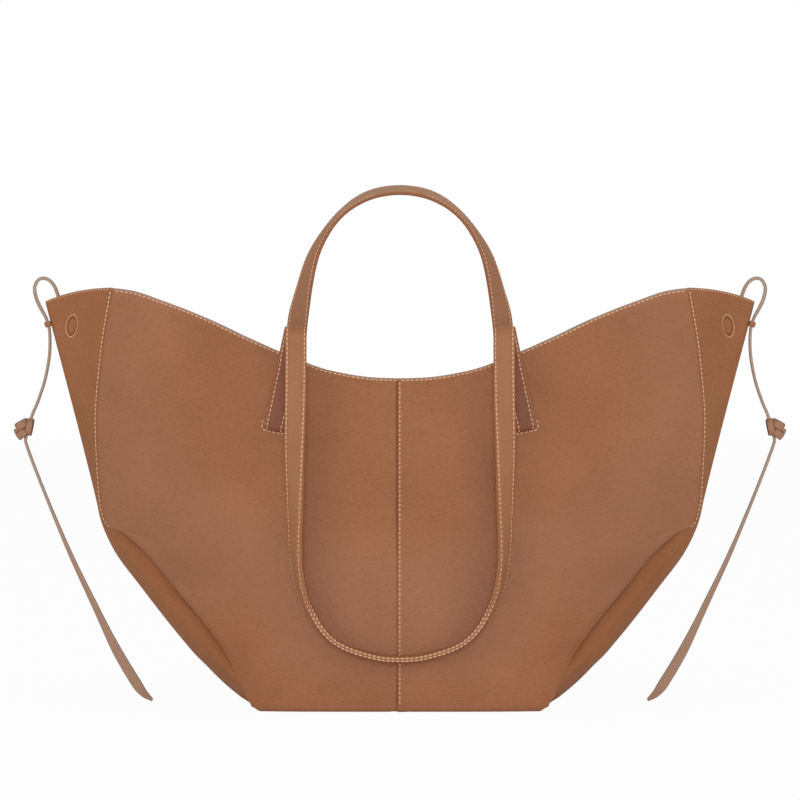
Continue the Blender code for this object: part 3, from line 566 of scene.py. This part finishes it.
def makeLace(sideName, hand):
    # flat thong along its route, edge-on at the top and turning to show its face towards the tip
    route = smoothRoute(metres(laceUpper + laceTail), 0.0020)
    along = unit(np.gradient(route, axis=0))
    share = np.linspace(0, 1, len(route))
    turn = np.radians(through(laceTurn, share))
    side = np.array([0.0, -1.0, 0.0])
    flat = unit(np.cross(along, side))
    look = side * np.cos(turn)[:, None] + flat * np.sin(turn)[:, None]
    width = through(laceWidth, share) / 1000
    thick = lace["thick"] * np.clip((1.004 - share) / 0.03, 0.35, 1)
    ring, kinds = ovalRing(1.0, 1.0)
    part = sweep(route, along, look, ring[None] * np.stack([width, thick], -1)[:, None], kinds)
    piece = makePiece(f"{sideName}Lace", [part], "thong", f"{sideName}_lace_upper", f"{sideName}_lace_tail",
                      turn=(-hand, 1))
    return piece, route * (-hand, 1, 1)


def wrapRing(centre, tilt, lean, radii, width, thick):
    # one flat turn of the thong round the knot: a closed oval ring whose face looks outwards
    angle = np.arange(36) * 2 * np.pi / 36
    wide = np.array([np.cos(tilt), 0.0, np.sin(tilt)])
    deep = np.array([-np.sin(tilt) * np.sin(lean), -np.cos(lean), np.cos(tilt) * np.sin(lean)])
    route = centre + wide * (radii[0] * np.cos(angle))[:, None] + deep * (radii[1] * np.sin(angle))[:, None]
    along = unit(np.roll(route, -1, 0) - np.roll(route, 1, 0))
    return sweep(route, along, np.cross(along, np.cross(wide, deep)), *ovalRing(width, thick), closed=True)


def makeKnot(sideName, hand):
    # overhand knot pulled tight: a broad turn slants across the front, two more lie crosswise under it
    turns = (
        # place, tilt and lean in degrees, radii, width, thickness
        ((-0.0015, -0.0004, 0.0018), 29, 4, (0.0040, 0.0034), 0.0060, 0.0020),
        ((-0.0012, 0.0000, -0.0036), 38, -4, (0.0040, 0.0032), 0.0056, 0.0020),
        ((0.0034, -0.0010, 0.0005), 79, 0, (0.0050, 0.0030), 0.0048, 0.0020),
        ((-0.0048, 0.0006, -0.0018), 20, 0, (0.0018, 0.0016), 0.0030, 0.0018),
    )
    parts = [wrapRing(np.array(lace["knotAt"]) + place, math.radians(tilt), math.radians(lean), *rest)
             for place, tilt, lean, *rest in turns]
    return makePiece(f"{sideName}LaceKnot", parts, "knot", f"{sideName}_lace_knot", turn=(-hand, 1))


def makeKeeper(sideName, hand):
    # narrow leather band round the outside of the lace, both ends sewn to the corner fold
    route = smoothRoute(metres(laceUpper), 0.0005)
    near = np.argmax(route[:, 2] > route[:, 2].max() - bag["gap"])
    near += np.argmax(route[near:, 2] < lace["keeperHeight"])
    centre, down = route[near], unit(route[near] - route[near - 1])
    out = unit(np.cross(down, (0.0, -1.0, 0.0)))
    side = np.cross(out, down)
    radius = lace["thick"] / 2 + 0.0009
    leg = (centre - np.array([-through(outlines["fold"], centre[2]), 0.0, centre[2]])) @ out
    angle = np.linspace(-np.pi / 2, np.pi / 2, 13)[:, None]
    arc = centre + out * np.cos(angle) * radius + side * np.sin(angle) * (lace["width"] / 2 + 0.0008)
    route = np.vstack([arc[:1] - out * leg, arc, arc[-1:] - out * leg])
    along = unit(np.gradient(route, axis=0))
    look = np.cross(along, down)
    part = sweep(route, along, look, *ovalRing(lace["keeperWidth"], lace["keeperWall"]))
    makePiece(f"{sideName}LaceKeeper", [part], "strap", f"{sideName}_lace_keeper", turn=(-hand, 1))


for sideName, hand in sides:
    thong, lacePath = makeLace(sideName, hand)
    knot = makeKnot(sideName, hand)
    makeKeeper(sideName, hand)


# body panels and gussets
magnet = {"x": 0.2215, "z": 0.2560, "wide": 0.0042, "high": 0.0074, "slant": 0.143}
relief = {"sideStitch": 0.0011, "rimStitch": 0.0011, "gussetStitch": 0.0010, "centreSeam": -0.0012,
          "centreStitch": -0.0001}
# first and last share of the way along each row, and its points
sewnRows = {"side": (0.430, 0.9945, 260), "centre": (0.014, 0.992, 200), "gusset": (-0.985, 0.985, 300)}
paintLimits = {"rimAbove": 0.2199, "rimWithin": 0.1925, "gussetAbove": 0.26}


def panelRelief(t, p, points, hand):
    # how far the leather stands out of the plain face: rolls beside the seams, dents along the
    # stitches, and slow waves where the soft panel hangs between its seams
    x, z = np.abs(points[..., 0]), points[..., 2]
    fromSide = (1 - np.abs(t)) * edgeAt(p)
    fromRim = rimHeight(t) - z
    lower = fallOff(0.100, 0.122, z)
    dent = -0.00030 * hump(fromSide, relief["sideStitch"], 0.0011) * (1 - lower)
    roll = 0.00040 * hump(fromSide, 0.0052, 0.0035) * (1 - lower)
    fold = -0.0016 * fallOff(0, 0.0060, fromSide) * lower * smoothStep(0.012, 0.040, z)
    belly = 0.0032 * hump(z, 0.118, 0.042) * hump(x, 0.120, 0.060)
    belly = belly + 0.0012 * hump(z, 0.205, 0.030) * hump(x, 0.176, 0.022)
    dent = dent - 0.00022 * hump(fromRim, relief["rimStitch"], 0.0010) + 0.0002 * hump(fromRim, 0.0052, 0.003)
    # the right panel laps over the left one at the centre seam
    fromLap = np.abs(points[..., 0] - relief["centreSeam"] * hand)
    lap = (0.00055 if hand > 0 else -0.00045) * fallOff(0, 0.0075, fromLap)
    lap = lap - (0.0003 * hump(fromLap, 0.0011, 0.0007) if hand > 0 else 0)
    return dent + roll + fold + lap + belly * smoothStep(0, 0.03, fromSide)


def lines(*runs):
    # grid lines from runs of (start, end, count), without repeats
    return np.unique(np.round(np.concatenate([np.linspace(*run) for run in runs]), 6))


def levels(*runs):
    # over the foot's fold, then by share of the rise
    return np.concatenate([np.linspace(0, 1, 9)[:-1], shareToP(lines(*runs))])


panelLevels = levels((footShare, 0.36, 44), (0.36, 0.48, 46), (0.48, 0.965, 74), (0.965, 1, 17))
panelColumns = lines((0, 0.04, 11), (0.04, 0.95, 64), (0.95, 1, 17))


def makePanel(faceName, sideName, hand, y):
    seam = relief["centreSeam"] * hand
    t, p = np.meshgrid(between(seam / seamX, 1 - 0.0006 / seamX, panelColumns), panelLevels)
    points = panelFace(t, p)
    points[:, 0, 0] = seam
    out = faceNormals(panelFace, t, p)
    raised = lambda t, p, points: panelRelief(t, p, points, hand)
    points = points + out * raised(t, p, points)[..., None]
    edgeSlot = lambda ring: (ring[:, 2] > paintLimits["rimAbove"]) & (np.abs(ring[:, 0]) < paintLimits["rimWithin"])
    # painted shade in the groove behind the side stitches and under the centre lap
    fromSide = (1 - np.abs(t)) * edgeAt(p)
    fromLap = np.abs(points[..., 0] - seam)
    paintedGrooveShade = 1.5 * hump(fromSide, 0.0022, 0.0008) * smoothStep(0.116, 0.124, points[..., 2])
    paintedGrooveShade = paintedGrooveShade + (1.2 * hump(fromLap, 0, 0.0013) if hand < 0 else 0)
    parts = [darkened(closedSheet(points, out, 0, bag["leather"], edgeSlot=edgeSlot), paintedGrooveShade)]
    corners, _, slots, _ = parts[0]
    corners[:, 2] = np.maximum(corners[:, 2], 0.0001)
    # the rim's paint comes a little way down the face
    slots[(len(t) - 2) * (t.shape[1] - 1):(len(t) - 1) * (t.shape[1] - 1)] = 1
    # side seam, from the tip to the rim
    up = shareToP(np.linspace(*sewnRows["side"]))
    rows = [(1 - relief["sideStitch"] / edgeAt(up), up)]
    # rim, a little below the painted edge
    across = np.linspace(0.002 + max(seam / seamX, 0), 1 - 0.004 / seamX, 300)
    rows.append((across, shareToP(1 - relief["rimStitch"] / rimHeight(across))))
    if hand > 0:
        up = shareToP(np.linspace(*sewnRows["centre"]))
        rows.append((relief["centreStitch"] / edgeAt(up), up))
    parts += [sewn(panelFace, raised, *row) for row in rows]
    makePiece(f"{faceName}{sideName.title()}Panel", parts, "body", f"{faceName}_{sideName}_panel", turn=(hand, y),
              tone=panelPaintedLight)


def panelPaintedLight(points):
    # painted highlight: paler over the belly, beside the side seams and round the foot's fold, and
    # painted shade a little deeper at the foot's corners
    x, z = np.abs(points[:, 0]), points[:, 2]
    middle = fallOff(0.80, 1.20, np.hypot(x / 0.155, (z - 0.215) / 0.108))
    corner = smoothStep(0.065, 0.105, x) * fallOff(0.040, 0.085, z)
    fold = 0.6 * fallOff(0.002, 0.007, z)
    return -(1 - middle) * (1 - corner) * smoothStep(0.005, 0.055, z) - fold + 0.12 * corner


def sewn(face, raised, a, b, look=sewing):
    # a row of stitches along a line on a face, on top of its relief
    place, out = face(a, b), faceNormals(face, a, b)
    return stitches(place + out * raised(a, b, place)[..., None], out, look)


def gussetRelief(q, p, points):
    # sunk beside the panel seams, a dent under the rim stitches, a pressed ring over each magnet
    z = points[..., 2]
    reach = through(outlines["fold"], z) - edgeAt(p)
    fromSeam = (1 - np.abs(q)) * np.hypot(reach, through(outlines["seamDepth"], shareOf(p) * peakZ))
    fromRim = gussetFace(q, np.full(np.shape(q), 2.0))[..., 2] - z
    high = smoothStep(0.115, 0.135, z)
    sunk = -0.0005 * fallOff(0, 0.004, fromSeam) * high
    sunk = sunk - 0.00015 * hump(fromRim, relief["gussetStitch"], 0.0007)
    # below the tip the band dips behind the panel's raised edge, and comes level with it at the foot
    low = smoothStep(0.014, 0.040, z)
    level = 0.0014 * (1 - low) * fallOff(0, 0.006, fromSeam)
    under = (1 - high) * (level - 0.0020 * low * fallOff(0, 0.020, fromSeam))
    around = markShare(points)
    ring = -0.0006 * hump(around, 0.80, 0.085) - 0.0002 * fallOff(0.70, 0.80, around)
    return sunk + under + ring * high


def markShare(points):
    # 1 on the sewn oval over the magnets, seen from the front, 0 at its middle
    side, up = np.abs(points[..., 0]) - magnet["x"], points[..., 2] - magnet["z"]
    return np.hypot((side + magnet["slant"] * up) / magnet["wide"], up / magnet["high"])


gussetHalf = lines((0, 0.06, 9), (0.06, 0.26, 18), (0.26, 0.52, 34), (0.52, 0.94, 32), (0.94, 1, 9))
gussetLevels = levels((footShare, 0.36, 40), (0.36, 0.52, 34), (0.52, 0.87, 52), (0.87, 0.965, 36), (0.965, 1, 15))


def makeGusset(sideName, hand):
    q, p = np.meshgrid(np.concatenate([-gussetHalf[:0:-1], gussetHalf]), gussetLevels)
    points = gussetFace(q, p)
    out = faceNormals(gussetFace, q, p)
    seam, fold = points[:, -1:], points[:, len(gussetHalf) - 1:len(gussetHalf)]
    fromSeam = (1 - np.abs(q)) * np.hypot(seam[..., 1], seam[..., 0] - fold[..., 0])
    # painted shade: on the sewn oval over each magnet, and in the band beside the seam below the tip
    low = smoothStep(0.010, 0.040, points[..., 2]) * fallOff(0.108, 0.124, points[..., 2])
    shade = 0.95 * hump(markShare(points), 0.80, 0.07) + 0.30 * low * fallOff(0.001, 0.030, fromSeam)
    points = points + out * gussetRelief(q, p, points)[..., None]
    points[..., 2] -= 0.0003 * smoothStep(0.24, 0.28, points[..., 2])
    edgeSlot = lambda ring: ring[:, 2] > paintLimits["gussetAbove"]
    parts = [darkened(closedSheet(points, out, 0, bag["leather"], 0.0004, edgeSlot=edgeSlot), shade)]
    across = np.linspace(*sewnRows["gusset"])
    rim = gussetFace(across, np.full(len(across), 2.0))[:, 2]
    parts.append(sewn(gussetFace, gussetRelief, across, shareToP(1 - relief["gussetStitch"] / rim),
                      {**sewing, "width": 0.0008, "length": 0.0028}))
    # sewn oval over each magnet, laid on the plane that touches the gusset there
    angle = np.linspace(0, 2 * np.pi, 90)
    up = magnet["high"] * np.sin(angle)
    side = magnet["wide"] * np.cos(angle) - magnet["slant"] * up
    plain = gussetFace(q, p).reshape(-1, 3)
    for half in (-1, 1):
        near = np.argmin(np.hypot(points[..., 0] - magnet["x"], points[..., 2] - magnet["z"]) + (q * half < 0))
        middle, normal = plain[near], out.reshape(-1, 3)[near]
        x, z = magnet["x"] + side, magnet["z"] + up
        y = middle[1] - (normal[0] * (x - middle[0]) + normal[2] * (z - middle[2])) / normal[1]
        parts.append(stitches(np.stack([x, y, z], -1), np.tile(normal, (90, 1)),
                              {**sewing, "pitch": 0.0017, "length": 0.0019, "width": 0.0007}))
    makePiece(f"{sideName}Gusset", parts, "gusset", f"{sideName}_gusset", turn=(hand, 1))


for faceName, y in fronts:
    for sideName, hand in sides:
        makePanel(faceName, sideName, hand, y)
for sideName, hand in sides:
    makeGusset(sideName, hand)
print("panels and gussets made")


def innerSheet(face, across, up, near, far):
    # sheet behind the leather, from shares across and up
    a, b = np.meshgrid(across, shareToP(up))
    return closedSheet(face(a, b), faceNormals(face, a, b), near, far, 0.0003, 3)


def makeInside():
    # lining sheets behind the leather, facings behind the rim, base plates between the turned feet
    near = bag["leather"] + bag["liningRoom"]
    far = near + bag["lining"]
    faced = far + bag["facingRoom"]
    reach = 1 - bag["inset"] / seamX
    height = np.linspace(0.04, 0.998, 70)
    sheet = innerSheet(panelFace, np.linspace(-reach, reach, 61), height, near, far)
    rimBand = np.linspace(1 - bag["facingDepth"] / bag["rimCentre"], height[-1], 12)
    strip = innerSheet(panelFace, np.linspace(-reach, reach, 91), rimBand, faced, faced + bag["facing"])
    for faceName, y in fronts:
        makePiece(f"{faceName}Lining", [sheet], "lining", f"{faceName}_lining", turn=(1, y))
        makePiece(f"{faceName}RimFacing", [strip], "body", f"{faceName}_rim_facing", turn=(1, y))
    sheet = innerSheet(gussetFace, np.linspace(-0.83, 0.83, 41), height, near, far)
    for sideName, hand in sides:
        makePiece(f"{sideName}SideLining", [sheet], "lining", f"{sideName}_side_lining", turn=(hand, 1))
    makePlate("basePanel", "base_panel", bag["gap"], 0, bag["leather"], "body")
    low = bag["leather"] + 0.002 + 2 * bag["gap"]
    makePlate("baseLining", "base_lining", 0.002, low, low + bag["lining"], "lining")


def makePlate(name, node, inset, low, high, kind):
    # flat sheet inside the turned feet: rows run from side to side, as wide as the outline there
    front = panelFace(np.linspace(0.05, 0.93, 24), np.zeros(24))
    side = gussetFace(np.linspace(-0.80, 0, 20), np.zeros(20))
    x = np.concatenate([front[:, 0], side[:, 0] - inset])
    y = np.concatenate([front[:, 1] + inset, side[:, 1]])
    keep = np.concatenate([np.ones(len(front), bool), side[:, 1] > front[-1, 1] + inset])
    x, y = np.maximum.accumulate(np.minimum(x[keep], x[keep][-1])), y[keep]
    x, y = np.concatenate([x, x[-2::-1]]), np.concatenate([y, -y[-2::-1]])
    across = x[:, None] * np.linspace(-1, 1, 25)
    points = np.stack([across, y[:, None] + 0 * across, high + 0 * across], -1)
    plate = closedSheet(points, np.array([0.0, 0.0, 1.0]), 0, high - low, 0.0001, 2, lambda ring: 0)
    makePiece(name, [plate], kind, node)


makeInside()
for node in ("front_left_magnet", "front_right_magnet", "back_left_magnet", "back_right_magnet"):
    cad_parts[node].material_slots[0].material = finishes["steel"]
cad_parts["base_board"].material_slots[0].material = finishes["board"]
print("lining, facings and base made")


# handles
strap = {
    "width": 0.0143, "thick": 0.0036, "stitchIn": 0.0015, "slitX": 0.0832, "slitZ": 0.1868,
    "crestX": 0.0703, "crestZ": 0.248, "foldRadius": 0.005, "loopFoot": 0.262, "setBack": 0.0032,
    "lean": math.radians(12), "edge": 0.0008, "edgeRound": 0.0009,
    # sewn corner of a slit, outwards and upwards from its end
    "slitCorner": ((0.0010, 0.0048, 0), (0.0016, 0.0018, 0), (0.0002, -0.0014, 0), (-0.003, -0.0020, 0)),
}
strapSewing = {**sewing, "width": 0.0010, "stand": -0.00006}
tilt = (strap["slitX"] - strap["crestX"]) / (strap["crestZ"] - strap["slitZ"])
# right half of each route in mm, with the twist in degrees
longRoute = (
    (68.9, -82, 206, 4), (69.3, -82.6, 173, 22), (69, -83, 135, 45), (68.4, -83.4, 101, 61),
    (64, -83.8, 76.8, 71), (54.7, -84.5, 58.4, 80), (44.7, -85, 48.3, 88), (34.5, -85.2, 42.7, 91),
    (23, -85.3, 39, 93), (11.2, -85.3, 36.5, 94), (0, -85.3, 35.9, 94),
)
shortRoute = (
    (68.8, 276, 30), (67, 285, 40), (63.4, 300, 50), (60, 310, 56), (54, 321, 63), (45.5, 333, 67),
    (36, 342, 62), (26.2, 348.3, 55.5), (15.5, 352.3, 53), (0, 354.3, 52.5),
)


def halfThick(fromEdge, inset):
    # crowned in the middle, pinched where it is sewn, a groove along the thread
    pinch = 0.00055 * fallOff(0.0008, 0.0036, fromEdge) + 0.00020 * hump(fromEdge, inset, 0.0006)
    return strap["thick"] / 2 - pinch


def strapProfile(inset):
    # two layers sewn together, with round painted edges
    across = np.linspace(-1, 1, 23) * (strap["width"] / 2 - strap["edgeRound"])
    fromEdge = strap["width"] / 2 - np.abs(across)
    top = halfThick(fromEdge, inset)
    edge = np.radians(np.array([50, 15, -15, -50]))
    sideX = strap["width"] / 2 - strap["edgeRound"] * (1 - np.cos(edge))
    sideY = top[-1] * np.sin(edge) / math.sin(math.radians(62))
    front = np.vstack([np.stack([across, top], -1), np.stack([sideX, sideY], -1)])
    painted = np.arange(len(front)) >= len(across) - 1
    return np.vstack([front, -front]), np.tile(painted, 2).astype(int)


def legOnPanel():
    # right front strap: through its slit, up and out in a quarter turn, then flat on the panel to the rim
    standOff = strap["thick"] / 2 + bag["gap"]
    place, out = onPanel(strap["slitX"], strap["slitZ"])
    above, _ = onPanel(strap["slitX"] - tilt * 0.01, strap["slitZ"] + 0.01)
    up = unit(above - place)
    centres = [place - out * bag["leather"], place - out * bag["leather"] / 2]
    faces = [-up, -up]
    for angle in np.linspace(0, np.pi / 2, 9):
        centres.append(place + standOff * (out * np.sin(angle) + up * (1 - np.cos(angle))))
        faces.append(out * np.sin(angle) - up * np.cos(angle))
    rim = rimHeight(strap["crestX"] / seamX)
    for z in np.linspace(strap["slitZ"] + 3 * standOff, rim - strap["edge"], 22):
        here, normal = onPanel(strap["slitX"] - tilt * (z - strap["slitZ"]), z)
        centres.append(here + normal * standOff)
        faces.append(normal)
    return np.array(centres), np.array(faces), (place, out, up)


def twisted(route, back, hand):
    # the strap's face along a route, turned away from the back by the route's twist
    outward = hand * unit(np.cross(back, unit(np.gradient(route[:, :3], axis=0))))
    turn = np.radians(route[:, 3:])
    return back * np.cos(turn) - outward * np.sin(turn)


def longHandlePath():
    # up past the rim, over a slanted crest in a half helix, and down the front in a U that twists
    centres, faces, _ = legOnPanel()
    rise = unit(np.array([-tilt, 0.0, 1.0]))
    front = np.array([0.0, -1.0, 0.0])
    top = centres[-1] + rise * (strap["crestZ"] - centres[-1][2]) / rise[2]
    steps = np.linspace(0, 1, 5)[1:, None]
    rootEnd = len(centres) + 3
    centres = np.vstack([centres, between(centres[-1], top, steps)])
    faces = np.vstack([faces, np.tile(front, (4, 1))])
    halfLean = math.atan(tilt) / 2
    crest = np.array([math.cos(halfLean), 0.0, math.sin(halfLean)])
    over = np.array([-math.sin(halfLean), 0.0, math.cos(halfLean)])
    angle = np.linspace(0, np.pi, 31)[1:, None]
    ring = over * np.sin(angle) + front * (1 - np.cos(angle)) - crest * math.tan(halfLean) * angle
    centres = np.vstack([centres, top + strap["foldRadius"] * ring])
    faces = np.vstack([faces, front * np.cos(angle) - over * np.sin(angle)])
    loopStart = len(centres) - 1
    hang = centres[-1]
    first = [(*hang, 0), (hang[0], hang[1], hang[2] - 0.012, 0)]
    route = smoothRoute(first + metres(longRoute), 0.0030)[1:]
    return np.vstack([centres, route[:, :3]]), np.vstack([faces, twisted(route, -front, -1)]), rootEnd, loopStart


def shortHandlePath():
    # up the back, then an arch that leans back, turning from face-on at its legs to edge-on on top
    centres, faces, _ = legOnPanel()
    centres, faces = centres * (1, -1, 1), faces * (1, -1, 1)
    last = centres[-1]
    legY = last[1] + strap["setBack"]
    slope = math.tan(strap["lean"])
    legs = [(x, legY + (z - strap["loopFoot"]) * slope, z, twist) for x, z, twist in metres(shortRoute, 2)]
    legX = last[0] - tilt * (strap["loopFoot"] - last[2]) * 0.5
    first = [(*centres[-2], 0), (*last, 0), (legX + 0.0010, legY, strap["loopFoot"], 4)]
    route = smoothRoute(first + legs, 0.0028)
    route = route[route[:, 2] > last[2] + 0.001]
    # a running mean takes the corners out of the curve
    ends = np.vstack([2 * route[0] - route[4:0:-1], route, route[-2:-6:-1] * (-1, 1, 1, 1)])
    window = np.hanning(11)[1:-1] / np.hanning(11).sum()
    route = np.stack([np.convolve(column, window, "valid") for column in ends.T], -1)
    route[-1, 0] = 0
    back = np.array([0.0, math.cos(strap["lean"]), -math.sin(strap["lean"])])
    return np.vstack([centres, route[:, :3]]), np.vstack([faces, twisted(route, back, 1)])


def strapParts(centres, along, faces, wearAndPaintedLight=0.0, sunk=False, inset=strap["stitchIn"], rolled=0):
    # the strap with two sewn rows on each face; the front's inner row is worn away over the grip, the
    # loops' rear rows are pulled deeper, and a rolled strap's rows lie round its edges
    inset = inset * np.ones(len(centres))
    ring = np.stack([strapProfile(some)[0] for some in inset])
    slots = strapProfile(0)[1]
    parts = [sweep(centres, along, faces, ring, slots)]
    across = unit(np.cross(faces, along))
    up = np.cross(along, across)
    rolled = (rolled * np.ones(len(centres)))[:, None]
    fromMiddle = strap["width"] / 2 - between(inset[:, None], 0.00030, rolled)
    lift = between(halfThick(inset, inset)[:, None], 0.00100, rolled)
    for sideways in (-1, 1):
        for face in (1, -1):
            row = centres + across * fromMiddle * sideways + up * lift * face
            out = up * face * np.cos(0.75 * rolled) + across * sideways * np.sin(0.75 * rolled)
            look = {**strapSewing, "stand": -0.00034} if sunk and face > 0 and not rolled.any() else strapSewing
            kept = (row[:, 0] > wearAndPaintedLight, row[:, 0] < -wearAndPaintedLight) if wearAndPaintedLight and face < 0 and sideways < 0 else (row[:, 0] < 1,)
            parts.extend(stitches(row[some], out[some], look) for some in kept)
    return parts


def wholePath(centres, faces):
    # the right half and its mirror image, from the right slit to the left one
    along = unit(np.gradient(centres, axis=0))
    along[-1] = (-1.0, 0.0, 0.0)
    halves = ((centres, 1), (along, -1), (faces, 1))
    return [np.vstack([half, half[-2::-1] * (-way, way, way)]) for half, way in halves]


centres, faces, rootEnd, loopStart = longHandlePath()
path, along, looks = wholePath(centres, faces)
last = len(path) - 1
runs = {
    "longHandleRightRoot": (0, rootEnd, "long_handle_right_root"),
    "longHandleRightFold": (rootEnd, loopStart, "long_handle_right_fold"),
    "longHandleLoop": (loopStart, last - loopStart, "long_handle_loop"),
    "longHandleLeftFold": (last - loopStart, last - rootEnd, "long_handle_left_fold"),
    "longHandleLeftRoot": (last - rootEnd, last, "long_handle_left_root"),
}
for name, (first, end, node) in runs.items():
    rows = slice(first, end + 1)
    body = None if "Fold" in name else ("long_handle" if "Loop" in name else "bag")
    # below the rim the roots are sewn further in, and carry a painted shadow of the loop in front of them
    inset = strap["stitchIn"] + (0.0009 * fallOff(0.222, 0.246, path[rows, 2]) if body == "bag" else 0)
    loopShadow = (lambda points: 0.75 * fallOff(0.235, 0.248, points[:, 2])) if body == "bag" else None
    rolled = fallOff(0.055, 0.090, path[rows, 2]) if body == "long_handle" else 0
    parts = strapParts(path[rows], along[rows], looks[rows], 0.0, body == "long_handle", inset, rolled)
    piece = makePiece(name, parts, "strap", node, body=body, tone=loopShadow)
    if body is None:
        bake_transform(piece)

# painted highlight: paler than the long handle from the legs up, most of all on top, where the light comes over it
path, along, looks = wholePath(*shortHandlePath())
archPaintedHighlight = lambda points: -2.5 * smoothStep(0.25, 0.27, points[:, 2]) - 5.0 * smoothStep(0.322, 0.350, points[:, 2])
parts = strapParts(path, along, looks, 0.016, True)
piece = makePiece("shortHandle", parts, "strap", "short_handle_loop", "short_handle_left_root",
                  "short_handle_right_root", "short_handle_left_flex", "short_handle_right_flex",
                  body=None, tone=archPaintedHighlight)
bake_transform(piece)
print("handles made")


def makeSlitStitches():
    # a sewn U round each slit: up beside both ends of the slit and along below it
    place, out, up = legOnPanel()[2]
    side = unit(np.cross(up, out))
    corner = np.array(strap["slitCorner"]) + (strap["width"] / 2, 0, 0)
    line = smoothRoute(np.vstack([corner * (-1, 1, 1), corner[::-1]]), 0.0008)
    track = place + side * line[:, :1] + up * line[:, 1:2]
    row = stitches(track + out * 0.0001, np.tile(out, (len(track), 1)), sewing)
    for faceName, y in fronts:
        for sideName, x in (("Right", 1), ("Left", -1)):
            makePiece(f"{faceName}{sideName}SlitStitches", [row], "thread", turn=(x, y))


makeSlitStitches()

# studio: white paper on the floor, a plain sky, a broad soft lamp in front and one on each side
studio = {"sky": 0.45, "floor": 0.93}
# place, aim, size, power
lamps = {
    "keyLamp": ((0, -2.5, 0.42), (0, 0, 0.12), 1.1, 21.5),
    "leftFill": ((-2.2, -1.4, 0.6), (0, 0, 0.15), 1.0, 13.0),
    "rightFill": ((2.2, -1.4, 0.6), (0, 0, 0.15), 1.0, 13.0),
}
floorMesh = bpy.data.meshes.new("floor")
floorMesh.from_pydata([(-12, -6, 0), (12, -6, 0), (12, 18, 0), (-12, 18, 0)], [], [(0, 1, 2, 3)])
addObject("floor", floorMesh)


def whiteForCamera(owner, name, values, share, glow):
    # camera, glossy and transmitted rays see mostly plain white, the rest see the surface itself
    owner.use_nodes = True
    tree = owner.node_tree
    surface = tree.nodes[name]
    fillNode(tree, surface, values)
    rays = tree.nodes.new("ShaderNodeLightPath").outputs
    sight = rays["Is Camera Ray"]
    for kind in ("Is Glossy Ray", "Is Transmission Ray"):
        sight = addNode(tree, "Math", {"operation": "MAXIMUM", 0: sight, 1: rays[kind]})
    sight = addNode(tree, "Math", {"operation": "MULTIPLY", 0: sight, 1: share})
    white = addNode(tree, glow, {"Color": "#FFFFFF", "Strength": 1.0})
    mixed = addNode(tree, "MixShader", {0: sight, 1: surface.outputs[0], 2: white})
    end = "World Output" if owner == scene.world else "Material Output"
    tree.links.new(mixed, tree.nodes[end].inputs["Surface"])


paper = bpy.data.materials.new("whitePaper")
floorMesh.materials.append(paper)
whiteForCamera(paper, "Principled BSDF", {
    "Base Color": (studio["floor"],) * 3 + (1.0,), "Roughness": 0.9, "Specular IOR Level": 0.1}, 0.96, "Emission")
scene.world = bpy.data.worlds.new("studio")
whiteForCamera(scene.world, "Background", {
    "Color": (1.0, 0.985, 0.965, 1.0), "Strength": studio["sky"]}, 1.0, "Background")

for name, (place, aim, size, power) in lamps.items():
    lamp = bpy.data.lights.new(name, "AREA")
    lamp.shape, lamp.size, lamp.energy = "DISK", size, power
    holder = addObject(name, lamp)
    holder.location = place
    holder.rotation_euler = (Vector(aim) - Vector(place)).to_track_quat("-Z", "Y").to_euler()
print("studio made")
